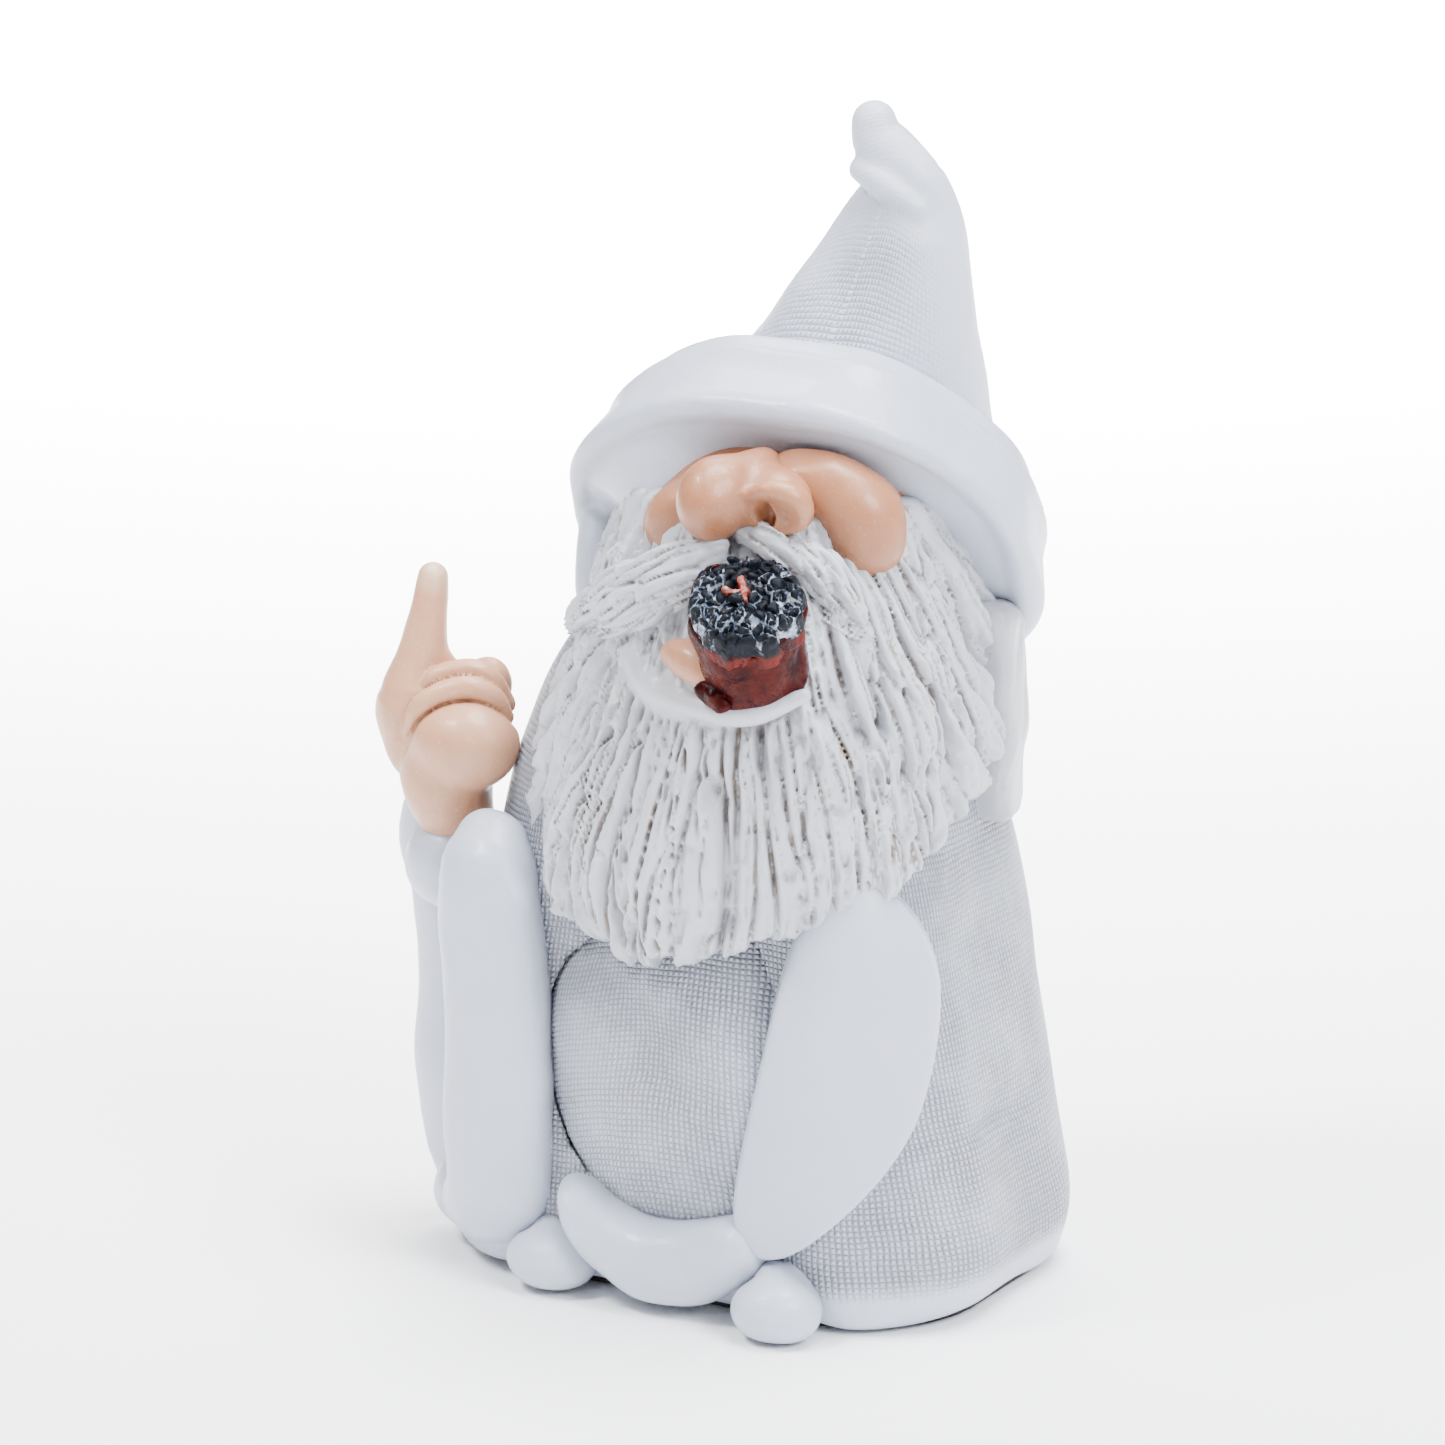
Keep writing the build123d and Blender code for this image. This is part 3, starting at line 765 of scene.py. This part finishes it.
def head_field(p):
    n = "head"
    d = ball(p, HEAD, 21.8)
    cheek = spots(n, (7.5, -15.6, 16.2), (12.4, -13.6, 14.4), (15.8, -12.0, 10.8), (16.9, -12.0, 7.6))
    d = smin(d, rope(p, cheek, [2.4, 3.6, 4.7, 4.2], k=1.0), 1.6)
    other = spots(n, (-5.5, -17.0, 11.6), (-7.8, -16.8, 9.2), (-9.4, -16.2, 6.6))
    d = smin(d, rope(p, other, [1.8, 2.8, 2.6], k=1.0), 1.6)
    brow = rod(p, at(n, 1.5, -19.6, 17.6), at(n, 11.0, -16.6, 20.6), 1.6, 2.4)
    d = smax(d, -brow, 1.8)
    return d + slow(p, 0.2, 101, 0.25)


def nose_field(p):
    n = "nose"
    d = blob(p, at(n, -1.7, -2.9, -1.9), (4.1, 4.9, 5.0))
    bridge = spots(n, (1.5, 4.0, 1.5), (0.7, 1.4, 0.7), (-0.7, -1.2, -0.7))
    d = smin(d, rope(p, bridge, [2.4, 2.9, 3.7]), 2.5)
    d = smin(d, blob(p, at(n, 4.3, 1.4, -1.9), (5.2, 4.2, 4.2)), 1.4)
    near = spots(n, (3.7, -2.8, -0.5), (6.3, -2.7, 0.3), (8.7, -1.1, -0.7), (8.8, 0.0, -2.9),
                 (6.9, -0.6, -4.3))
    d = smin(d, rope(p, near, [0.8, 1.3, 1.8, 1.9, 1.4]), 0.8)
    far = spots(n, (-4.7, -0.6, -2.1), (-5.9, 0.6, -3.5), (-5.1, 0.4, -5.5))
    d = smin(d, rope(p, far, [1.6, 2.2, 1.9]), 0.9)
    hole = blob(p, at(n, 5.2, -2.8, -3.2), (1.3, 2.9, 1.9))
    d = smax(d, -hole, 0.6)
    return d + slow(p, 0.3, 111, 0.15)


def no_pale(p):
    """Nothing paler anywhere."""
    return np.zeros(len(p), F)


def lip_field(p):
    n = "lower_lip"
    points = spots(n, (2.6, 1.9, 2.6), (5.2, 0.7, 2.6), (8.8, 0.3, 1.2))
    return rope(p, points, [1.5, 2.4, 2.4]) + slow(p, 0.3, 121, 0.2)


# --- beard
BEARD_Z = (40.0, 46.0, 52.0, 58.0, 66.0, 74.0, 82.0, 90.0, 98.0, 104.0)
BEARD_CX = (3.0, 3.5, 4.2, 5.0, 5.8, 6.4, 7.0, 7.0, 6.5, 6.0)
BEARD_CY = (-9.0, -8.8, -8.0, -7.0, -6.0, -4.6, -3.6, -2.6, -2.0, -2.0)
BEARD_RX = (21.0, 24.0, 26.6, 28.4, 29.0, 27.8, 25.4, 23.0, 21.5, 20.0)
BEARD_RY = (18.5, 22.2, 24.8, 26.2, 27.3, 27.5, 26.4, 23.6, 20.6, 18.0)
# Where the beard's lower edge runs: the angle from straight ahead, and the height there.
EDGE_ANGLE = (-2.3, -1.57, -1.06, -0.6, -0.2, 0.2, 0.68, 1.05, 1.54, 1.9, 2.4)
EDGE_Z = (74.0, 61.0, 52.5, 48.0, 46.3, 46.8, 51.0, 56.0, 65.0, 73.0, 82.0)


STRAND_POLE = 152  # the height that the strands fan down from
BEARD_SPAN = F(28)  # turns an angle round the beard into millimetres
BEARD_TOP, BEARD_BACK = 103, 9


def beard_place(p):
    """The angle round the beard from straight ahead, and the distance from its bulk."""
    z = p[..., 2]
    x = p[..., 0] - ramp(z, BEARD_Z, BEARD_CX)
    y = p[..., 1] - ramp(z, BEARD_Z, BEARD_CY)
    rx, ry = ramp(z, BEARD_Z, BEARD_RX), ramp(z, BEARD_Z, BEARD_RY)
    turn = np.arctan2(x / rx, -y / ry).astype(F)
    scaled = np.hypot(x / rx, y / ry)
    radius = np.hypot(x, y) / np.maximum(scaled, 1e-3)
    return turn, ((scaled - 1) * radius * F(0.93)).astype(F)


def strands(s, z, seed):
    """Height of clay strands that fan down from above the head, and each one's own number."""
    drop = np.maximum(STRAND_POLE - z, 8)
    fan = np.arctan(s / drop) * 60
    fan = fan + 1.7 * noise(s * 0.05, z * 0.035, F(0), seed) + 0.5 * noise(s * 0.2, z * 0.09, F(0), seed + 1)
    f1, f2, name = cells(fan / 2.2, z / 40.0 + 0.5 * noise(s * 0.3, z * 0.03, F(0), seed + 2), seed + 3, 0.95)
    big = np.clip((f2 - f1) / 0.28, 0, 1) ** 0.6
    g1, g2, small_name = cells(fan / 1.1, z / 22.0, seed + 5, 0.95)
    fine = np.clip((g2 - g1) / 0.3, 0, 1) ** 0.7
    cut = np.abs(noise(fan / 1.7, z / 30.0, F(0), seed + 6))
    furrow = 1 - np.clip(cut / 0.13, 0, 1)
    hair = noise(fan * 2.2, z * 0.08, F(0), seed + 8)
    crumbs = noise(s * 0.9, z * 0.5, F(3), seed + 9)
    pits = np.clip(noise(s * 0.55, z * 0.35, F(7), seed + 10) - 0.5, 0, 1)
    swell = noise(fan / 3.6, z / 26.0, F(0), seed + 11)
    height = 1.2 * big + (name - 0.5) * 1.0 + 0.55 * fine + (small_name - 0.5) * 0.6 - 1.6 * furrow
    return height + 0.22 * hair + 0.28 * crumbs - 1.8 * pits + 0.7 * swell, name


CIGAR_ROOT = at("cigar_wrapper", -2.4, 6.7, -5.5)
CIGAR_LEAN = (3.9, -9.5, 13.6)
CIGAR_AXIS = np.array(CIGAR_LEAN, F) / np.linalg.norm(CIGAR_LEAN)


def beard_field(p):
    turn, base = beard_place(p)
    s = turn * BEARD_SPAN
    z = p[..., 2]
    out = np.full(base.shape, FAR, F)
    near = base < 4.5
    out[~near] = base[~near]
    q, sn, zn, tn = p[near], s[near], z[near], turn[near]
    height, name = strands(sn, zn, 201)
    smooth_lip = spots("beard", (-9.9, -14.5, 10.9), (-5.1, -17.1, 8.0), (2.5, -18.9, 6.9),
                       (10.0, -19.1, 7.2), (16.0, -16.7, 9.6))
    crescent = rope(q, smooth_lip, [0.8, 1.3, 1.6, 1.6, 0.9])
    seat = blob(q, at("beard", 5.5, -13.0, 10.5), (8.0, 6.0, 5.5))
    calm = np.clip(np.minimum(crescent, seat) / 1.6, 0.0, 1.0)
    top = np.clip((101 - zn) / 6, 0.3, 1)
    d = base[near] - (1.15 * height - 1.0) * calm * top
    d = d - slow(q, 0.07, 205, 0.9)
    edge = np.interp(tn, EDGE_ANGLE, EDGE_Z).astype(F)
    ragged = (name - 0.5) * 3.0 + 0.9 * noise(sn * 0.5, zn * 0.1, F(0), 207)
    d = smax(d, edge + ragged - zn, 1.8)
    d = smin(smin(d, crescent, 0.9), seat, 1.5)
    d = smax(d, q[..., 1] - BEARD_BACK, 2.0)
    out[near] = smax(d, zn - BEARD_TOP, 2.0)
    return out


def along_path(p, points, steps=6):
    """How far along the path each point is, in millimetres."""
    path, _ = smooth_path(points, np.ones(len(points)), steps)
    best = np.full(p.shape[:-1], 1e9, F)
    run = np.zeros(p.shape[:-1], F)
    total = 0.0
    for i in range(len(path) - 1):
        a, ab = path[i], path[i + 1] - path[i]
        length = float(np.linalg.norm(ab))
        t = np.clip(((p - a) @ ab) / F(length * length), 0, 1)
        d = np.linalg.norm(p - a - t[..., None] * ab, axis=-1)
        closer = d < best
        best = np.where(closer, d, best)
        run = np.where(closer, total + t * length, run)
        total += length
    return run


def wing_field(points, radii, middle, seed):
    """A moustache wing: strands run along it."""
    def field(p):
        d = rope(p, points, radii, k=0.6)
        out = d.copy()
        near = d < 3.5
        q = p[near]
        run = along_path(q, points)
        outward = np.sign(points[-1][0] - points[0][0])
        rise = q[..., 2] - middle[2] + 0.55 * (q[..., 0] - middle[0]) * outward
        lean = np.arctan2(rise, -(q[..., 1] - middle[1]))
        across = lean * 9
        wave = across + 0.9 * noise(run * 0.12, across * 0.2, F(0), seed)
        f1, f2, name = cells(wave / 1.7, run / 10.0, seed + 3, 0.9)
        g1, g2, _ = cells(wave / 0.8, run / 5.0, seed + 5, 0.9)
        height = np.clip((f2 - f1) / 0.45, 0, 1) ** 0.6 * 1.0 + (name - 0.5) * 0.9
        height = height + 0.35 * np.clip((g2 - g1) / 0.45, 0, 1)
        height = height + 0.12 * noise(wave * 2.6, run * 0.2, F(0), seed + 6)
        seen = np.clip((lean + 0.75) / 0.5, 0.12, 1)
        out[near] = d[near] - (height - 0.9) * seen * np.clip(run / 2.5, 0.4, 1)
        return out
    return field


RIGHT_WING = spots("moustache_right", (9.7, 1.5, 7.2), (5.5, 0.7, 4.0), (0.0, 1.5, 0.4),
                   (-6.0, 4.3, -2.8), (-11.5, 8.3, -5.8), (-14.7, 12.7, -9.4))
LEFT_WING = spots("moustache_left", (-9.3, 0.4, 7.2), (-3.3, 0.4, 5.6), (0.7, 3.2, 2.2),
                  (3.7, 4.7, -3.2), (5.1, 5.4, -9.2))


# --- hat
BRIM = at("hat_brim", 1.4, -3.6, -2.9)
YAW, TILT = math.radians(10), math.radians(51)
UP = np.array((-math.sin(YAW) * math.sin(TILT), math.cos(YAW) * math.sin(TILT), math.cos(TILT)), F)
ACROSS = np.array((math.cos(YAW), math.sin(YAW), 0), F)
FORE = np.cross(UP, ACROSS).astype(F)
# The brim's wall in section: out from its axis, and up along it.
BRIM_EDGE, BRIM_CREST = vec(28.7, 2.0), vec(24.6, 13.8)


def brim_field(p):
    q = p - BRIM
    rise, side, fore = q @ UP, q @ ACROSS, q @ FORE
    turn = np.arctan2(side, -fore)
    r = np.hypot(side, fore)
    r = r + F(0.55) * np.cos(3 * turn + 0.6) + F(0.35) * np.cos(5 * turn + 1.0) + F(0.25) * np.cos(8 * turn)
    rise = rise + F(0.5) * np.sin(2 * turn + 0.5) + F(0.35) * np.sin(5 * turn)
    section = np.stack([r, rise], -1) - BRIM_EDGE
    wall = BRIM_CREST - BRIM_EDGE
    t = np.clip((section @ wall) / F(wall @ wall), 0, 1)
    d = np.linalg.norm(section - t[..., None] * wall, axis=-1) - (F(1.9) + F(0.2) * t)
    sag = 0.5 + 6.6 * np.exp(-((turn + 0.80) / 0.42) ** 2)
    roof = smax(r - 28.4, 0.9 - np.clip((28.4 - r) / 7, 0, 1) * sag - rise, 0.8)
    roof = smax(roof, rise - 12.0, 1.0)
    d = smin(d, roof, 0.8)
    n = "hat_brim"
    flap = spots(n, (-24.7, -9.4, 0.5), (-23.8, -11.2, -4.5), (-23.2, -12.0, -9.1),
                 (-22.2, -12.2, -12.7))
    d = smin(d, rope(p, flap, [2.4, 2.6, 2.4, 1.3]), 1.6)
    return d + slow(p, 0.06, 301, 0.7) + slow(p, 0.14, 302, 0.25)


def cone_field(p):
    n = "hat_cone"
    points = spots(n, (-0.1, -0.6, -18.7), (2.4, -0.3, -8.7), (5.0, -0.2, 1.3), (6.9, 0.1, 8.3),
                   (8.4, 0.4, 14.8), (9.2, 0.4, 20.3))
    d = rope(p, points, [20.4, 16.4, 13.2, 10.7, 8.2, 5.4], steps=4)
    turn = np.arctan2(p[..., 0] - 10, -(p[..., 1] - 10))
    folds = np.sin(turn * 4 + p[..., 2] * 0.10) * np.clip((p[..., 2] - 100) / 20, 0, 1)
    fade = np.clip((140 - p[..., 2]) / 16, 0, 1)
    d = d + F(0.45) * folds * fade + slow(p, 0.07, 311, 1.0) * fade
    curl = spots(n, (13.4, -1.2, 17.3), (11.4, -1.4, 22.3), (8.4, -1.8, 25.3), (6.4, -2.2, 27.5),
                 (5.9, -2.4, 29.7))
    d = smin(d, rope(p, curl, [2.2, 3.6, 3.8, 3.1, 2.7], steps=4), 0.6)
    lip = spots(n, (5.4, -4.6, 23.9), (9.0, -5.2, 22.3), (13.0, -4.2, 19.7))
    d = smin(d, rope(p, lip, [1.6, 2.1, 1.5], steps=4), 0.8)
    return d + slow(p, 0.16, 312, 0.3)


def cone_weave(p):
    z = p[:, 2]
    lean = (z - 118) * 0.22
    u = np.abs(np.arctan2(p[:, 0] - 11 - lean, -(p[:, 1] - 10))) * 15.5
    front = np.exp(-(u / 12.5) ** 2) * np.clip((z - 100) / 6, 0, 1) * np.clip((139 - z) / 8, 0, 1)
    v = z + 0.02 * u ** 2 - 0.1 * u
    return np.stack([u / PITCH, v / PITCH, 0.06 + 0.44 * front], -1)


def hair_field(p):
    n = "back_hair"
    q = p - at(n, 1.4, -12.3, 0.0)
    x, y, z = q[..., 0], q[..., 1], q[..., 2]
    turn = np.arctan2(x / 30.4, y / 22.5).astype(F)
    around = (np.hypot(x / 30.4, y / 22.5) - 1) * F(24)
    around = around + F(0.9) * noise(z * 0.16, x * 0.05, F(0), 323)
    s = turn * F(27)
    drop = np.maximum(60 - z, 8)
    fan = np.arctan(s / drop) * 42
    f1, f2, name = cells(fan / 2.6 + 0.3 * noise(s * 0.1, z * 0.08, F(0), 321), z / 16, 322, 0.9)
    height = np.clip((f2 - f1) / 0.45, 0, 1) ** 0.6 * 1.1 + (name - 0.5) * 0.7
    d = around - (height - 0.8) * np.clip((30 - np.abs(x)) / 5, 0.45, 1)
    d = smax(d, -z - 12 + 8 * np.clip((-x - 11) / 13, 0, 1) + (name - 0.5) * 2.4, 1.8)
    d = smax(d, z - 16, 3.0)
    return smax(d, -y + 0.5, 1.8)


# --- cigar
def cigar_place(p):
    """Each point's place along the cigar, to its right and up from its axis."""
    q = p - CIGAR_ROOT
    along = q @ CIGAR_AXIS
    right = np.cross(CIGAR_AXIS, vec(0, 0, 1))
    right = right / np.linalg.norm(right)
    up = np.cross(right, CIGAR_AXIS)
    return along, q @ right, q @ up


def wrapper_field(p):
    along, a, b = cigar_place(p)
    turn = np.arctan2(a, b)
    flare = np.exp(-((turn - 0.8) / 0.5) ** 2)
    ridge = -0.55 * flare + 0.28 * np.sin(turn * 2 + along * 0.5) + 0.16 * np.sin(turn * 5 - along * 0.9 + 1)
    r = np.hypot(a, b) + ridge.astype(F) - 6.85
    rim = 15.6 + 2.3 * flare + 0.4 * np.sin(turn * 3 + 1) + 0.3 * np.sin(turn * 7)
    d = smax(r, along - rim.astype(F), 0.8)
    cup = smax(np.hypot(a, b) - 6.3 - 0.5 * flare.astype(F), F(13.6) - along, 0.3)
    d = smax(smax(d, -cup, 0.3), F(3.2) - along, 0.5)
    return d + slow(p, 0.35, 401, 0.3)


def ash_cells(a, b, along):
    """The ash's crumbs, as cells across the cigar."""
    warp = 0.35 * noise(a * 0.9, b * 0.9, along * 0.9, 411)
    return cells(a / 1.45 + warp, b / 1.45 - warp, 412, 0.95)


def ash_field(p):
    along, a, b = cigar_place(p)
    r = np.hypot(a, b)
    turn = np.arctan2(a, b)
    f1, f2, name = ash_cells(a, b, along)
    chunk = np.clip((f2 - f1) / 0.5, 0, 1) ** 0.6
    top = F(17.9) + chunk * 1.0 + (name - 0.5) * 1.3 - (r / 7.0) ** 4 * 1.3
    notch = np.exp(-((turn - 0.18) / 0.16) ** 2) * np.clip((r - 3) / 4, 0, 1)
    edge = 6.75 + 0.22 * np.sin(turn * 9) + (name - 0.5) * 0.7 - 1.7 * notch
    d = smax(along - top - 0.2, r - edge - 0.22 * chunk, 0.7)
    d = smax(d, F(12.8) - along, 0.5)
    return d + 0.5 * slow(p, 1.1, 413, 0.35)


def ash_vein(p):
    """Pale ash in the cracks between crumbs."""
    along, a, b = cigar_place(p)
    f1, f2, _ = ash_cells(a, b, along)
    line = 1 - np.clip((f2 - f1) / 0.19, 0, 1)
    patch = noise(a * 0.45, b * 0.45, F(0), 417)
    g1, g2, _ = cells(a / 0.9, b / 0.9, 418, 0.95)
    small = (1 - np.clip((g2 - g1) / 0.14, 0, 1)) * np.clip(patch * 3, 0, 1)
    line = line * np.clip((along - 14.6) / 1.2, 0, 1)
    return np.clip(line * np.clip(0.8 + patch * 1.4, 0, 1) + 0.6 * small, 0, 1)


def ash_glow(p):
    """Red where the ash meets the wrapper."""
    along, a, b = cigar_place(p)
    patch = np.clip(0.6 + noise(a * 0.5, b * 0.5, along * 0.5, 420), 0, 1)
    return np.clip((15.4 - along) / 0.8, 0, 1) * patch


def ember_field(p):
    along, a, b = cigar_place(p)
    turn = np.arctan2(a - 0.4, b - 0.2)
    star = 1.15 + 0.55 * np.sin(turn * 4 + 0.6) + 0.45 * np.sin(turn * 3 + 2) + 0.2 * np.sin(turn * 9)
    star = star + 0.5 * noise(a * 1.3, b * 1.3, F(0), 422)
    lift = 0.5 * noise(a * 0.8, b * 0.8, F(0), 423)
    d = smax(np.hypot(a - 0.4, (b - 0.2) * 0.8) - star, np.abs(along - 18.7 - lift) - 0.9, 0.4)
    return d + slow(p, 1.2, 421, 0.3)


def tail_field(p):
    n = "cigar_wrapper_tail"
    points = spots(n, (0.0, 1.1, 5.9), (0.6, 0.3, 3.9), (2.6, -0.1, 2.3))
    d = rope(p, points, [0.8, 1.2, 1.0], k=0.5)
    d = smin(d, ball(p, at(n, 1.6, 0.3, 4.5), 1.0), 0.4)
    return d + slow(p, 0.7, 431, 0.6)


# --- the pieces
sculpt("Robe", "robe_shell", "white_cloth", robe_field, 0.55, {"weave": robe_weave})
sculpt("Belly", "belly_panel", "white_cloth", belly_field, 0.4, {"weave": belly_weave})
sculpt("Hem", "front_hem", "white_smooth", hem_field, 0.35)
sculpt("Right_toe", "right_shoe", "white_smooth",
       shoe_field(at("right_shoe", 0.1, 0.5, -1.1), 45), 0.35)
sculpt("Left_toe", "left_shoe", "white_smooth",
       shoe_field(at("left_shoe", -0.2, -1.4, -1.0), 46), 0.35)
sculpt("Right_sleeve", "right_sleeve", "white_smooth", sleeve_field, 0.55)
sculpt("Inner_lobe", "right_cuff_inner", "white_smooth", inner_field, 0.4)
sculpt("Outer_lobe", "right_cuff_outer", "white_smooth", outer_field, 0.4)
sculpt("Left_sleeve", "left_sleeve", "white_smooth", leaf_field, 0.4)
sculpt("Hand", "right_hand", "hand_paint", hand_field, 0.35, {"pale": hand_pale})
sculpt("Head", "head", "face_paint", head_field, 0.45, {"pale": no_pale})
sculpt("Nose", "nose", "face_paint", nose_field, 0.28, {"pale": no_pale})
sculpt("Lower_lip", "lower_lip", "lip_paint", lip_field, 0.3, {"pale": no_pale})
sculpt("Beard", "beard", "white_hair", beard_field, 0.38, crease=(1.3, 0.6))
sculpt("Right_wing", "moustache_right", "white_hair",
       wing_field(RIGHT_WING, [1.8, 3.2, 4.1, 3.9, 3.0, 1.8], at("moustache_right", -1.5, 6.5, -1.4), 231),
       0.3, crease=(1.0, 0.5), margin=12.0)
sculpt("Left_wing", "moustache_left", "white_hair",
       wing_field(LEFT_WING, [1.2, 1.9, 2.6, 2.6, 1.7], at("moustache_left", -2.7, 4.0, -0.2), 241),
       0.3, crease=(1.0, 0.5))
sculpt("Brim", "hat_brim", "white_smooth", brim_field, 0.55)
sculpt("Cone", "hat_cone", "white_cloth", cone_field, 0.5, {"weave": cone_weave})
sculpt("Back_hair", "back_hair", "white_hair", hair_field, 0.5)
sculpt("Wrapper", "cigar_wrapper", "wrapper", wrapper_field, 0.28)
sculpt("Wrapper_tail", "cigar_wrapper_tail", "wrapper", tail_field, 0.25)
sculpt("Ash", "cigar_ash", "ash", ash_field, 0.17, {"vein": ash_vein, "glow": ash_glow})
sculpt("Ember", "cigar_ember", "ember", ember_field, 0.15)


PIN_RADIUS, PIN_BEVEL = 1.5, 0.3


def pin(name, node, start, end, sides=28):
    """A round steel pin with bevelled ends."""
    start, end = np.array(start, float), np.array(end, float)
    run = (end - start) / np.linalg.norm(end - start)
    right = np.cross(run, (0, 1, 0.3))
    right /= np.linalg.norm(right)
    up = np.cross(run, right)
    tip = PIN_RADIUS - PIN_BEVEL
    rings = ((start, tip), (start + run * PIN_BEVEL, PIN_RADIUS), (end - run * PIN_BEVEL, PIN_RADIUS),
             (end, tip))
    turn = np.linspace(0, 2 * np.pi, sides, endpoint=False)
    circle = np.cos(turn)[:, None] * right + np.sin(turn)[:, None] * up
    points = [start] + [c + r * v for c, r in rings for v in circle] + [end]
    last = len(points) - 1
    faces = []
    for i in range(sides):
        j = (i + 1) % sides
        faces.append((0, 1 + i, 1 + j))
        for k in range(1, 1 + 3 * sides, sides):
            faces.append((k + i, k + sides + i, k + sides + j, k + j))
        faces.append((last, 1 + 3 * sides + j, 1 + 3 * sides + i))
    mesh = bpy.data.meshes.new(name)
    mesh.from_pydata([tuple(float(c) * MM for c in v) for v in points], [], faces)
    stand_for(add_object(name, mesh), node, "pin_steel")


pin("Neck_pin", "neck_pin", *spots("neck_pin", (-0.3, 0.0, -12.0), (0.2, 0.0, 12.0)))
pin("Hand_pin", "hand_pin", *spots("hand_pin", (0.0, 0.7, -11.0), (0.0, -0.8, 11.0)))
pin("Cigar_pin", "cigar_pin", CIGAR_ROOT - CIGAR_AXIS * 7, CIGAR_ROOT + CIGAR_AXIS * 8)


def slab_field(node, corner):
    """A flat plate that fills its node's box, with rounded corners."""
    low, high = box_mm(node)
    middle, half = (low + high) / 2, (high - low) / 2

    def field(p):
        q = p - middle
        d = rounded_box(q[..., 0], q[..., 1], half[0], half[1], corner)
        return smax(d, np.abs(q[..., 2]) - half[2], 0.3)
    return field


sculpt("Base_pad", "base_pad", "pad", slab_field("base_pad", 16), 0.45, margin=2.0)
sculpt("Base_plate", "base_plate", "plate_resin", slab_field("base_plate", 13), 0.45, margin=2.0)


# --- stage, lights and camera
def area_light(name, place, aim, size, power, tint=(1, 1, 1), spread=180):
    """A round lamp, size metres across, that looks from its place at the aim."""
    lamp = bpy.data.lights.new(name, "AREA")
    lamp.spread = math.radians(spread)
    lamp.shape = "DISK"
    lamp.size = size
    lamp.energy = power
    lamp.color = tint
    item = add_object(name, lamp)
    item.location = place
    item.rotation_euler = (Vector(aim) - Vector(place)).to_track_quat("-Z", "Y").to_euler()


FLOOR_REACH = 3  # metres from the middle to each edge
low, high = size_before
floor_mesh = bpy.data.meshes.new("Floor")
floor_corners = [(x * FLOOR_REACH, y * FLOOR_REACH, low[2]) for x, y in ((-1, -1), (1, -1), (1, 1), (-1, 1))]
floor_mesh.from_pydata(floor_corners, [], [(0, 1, 2, 3)])
floor = add_object("Floor", floor_mesh)
floor_paint = bpy.data.materials.new("floor")
floor_paint.use_nodes = True
floor_shader = next(n for n in floor_paint.node_tree.nodes if n.type == "BSDF_PRINCIPLED")
floor_shader.inputs["Base Color"].default_value = (0.96, 0.96, 0.96, 1)
floor_shader.inputs["Roughness"].default_value = 0.9
floor_mesh.materials.append(floor_paint)

world = bpy.data.worlds.new("studio")
world.use_nodes = True
world.node_tree.nodes["Background"].inputs["Color"].default_value = (0.96, 0.97, 1.0, 1)
world.node_tree.nodes["Background"].inputs["Strength"].default_value = 0.50
bpy.context.scene.world = world

aim = tuple(float(c) for c in (np.array(low) + np.array(high)) / 2)
area_light("key", (-0.42, -0.50, 1.00), aim, 0.26, 16.0, (0.98, 0.985, 1.0))
area_light("top", (0.20, 0.10, 1.25), aim, 0.7, 44.0, (0.95, 0.97, 1.0))
area_light("fill", (0.90, -0.30, 0.80), aim, 0.5, 20.0, (0.93, 0.96, 1.0))
for reach, power in ((0.85, 55.0), (1.8, 100.0)):
    spot = (-0.5 * reach, 0.87 * reach, 0.7)
    area_light("floor", spot, (spot[0], spot[1], 0.0), 0.9, power, spread=95)

# The camera looks at a point given to its right, up and towards it, in metres from the origin.
AIM_RIGHT, AIM_UP, AIM_TOWARD = -0.0045, 0.0674, 0.0194
FOCAL_SHARE = 0.1972  # the focal length, as a share of the distance
azimuth, elevation, distance = math.radians(30), math.radians(15), 0.8
toward = Vector((math.sin(azimuth) * math.cos(elevation), -math.cos(azimuth) * math.cos(elevation),
                 math.sin(elevation)))
right = Vector((math.cos(azimuth), math.sin(azimuth), 0))
upward = toward.cross(right)
target = right * AIM_RIGHT + upward * AIM_UP + toward * AIM_TOWARD
camera = add_object("Camera", bpy.data.cameras.new("Camera"))
camera.location = target + toward * distance
camera.rotation_euler = (target - camera.location).to_track_quat("-Z", "Y").to_euler()
camera.data.sensor_width = 36.0
camera.data.lens = FOCAL_SHARE * distance * PER_METRE
camera.data.clip_start = 0.01
camera.data.clip_end = 20.0
bpy.context.scene.camera = camera
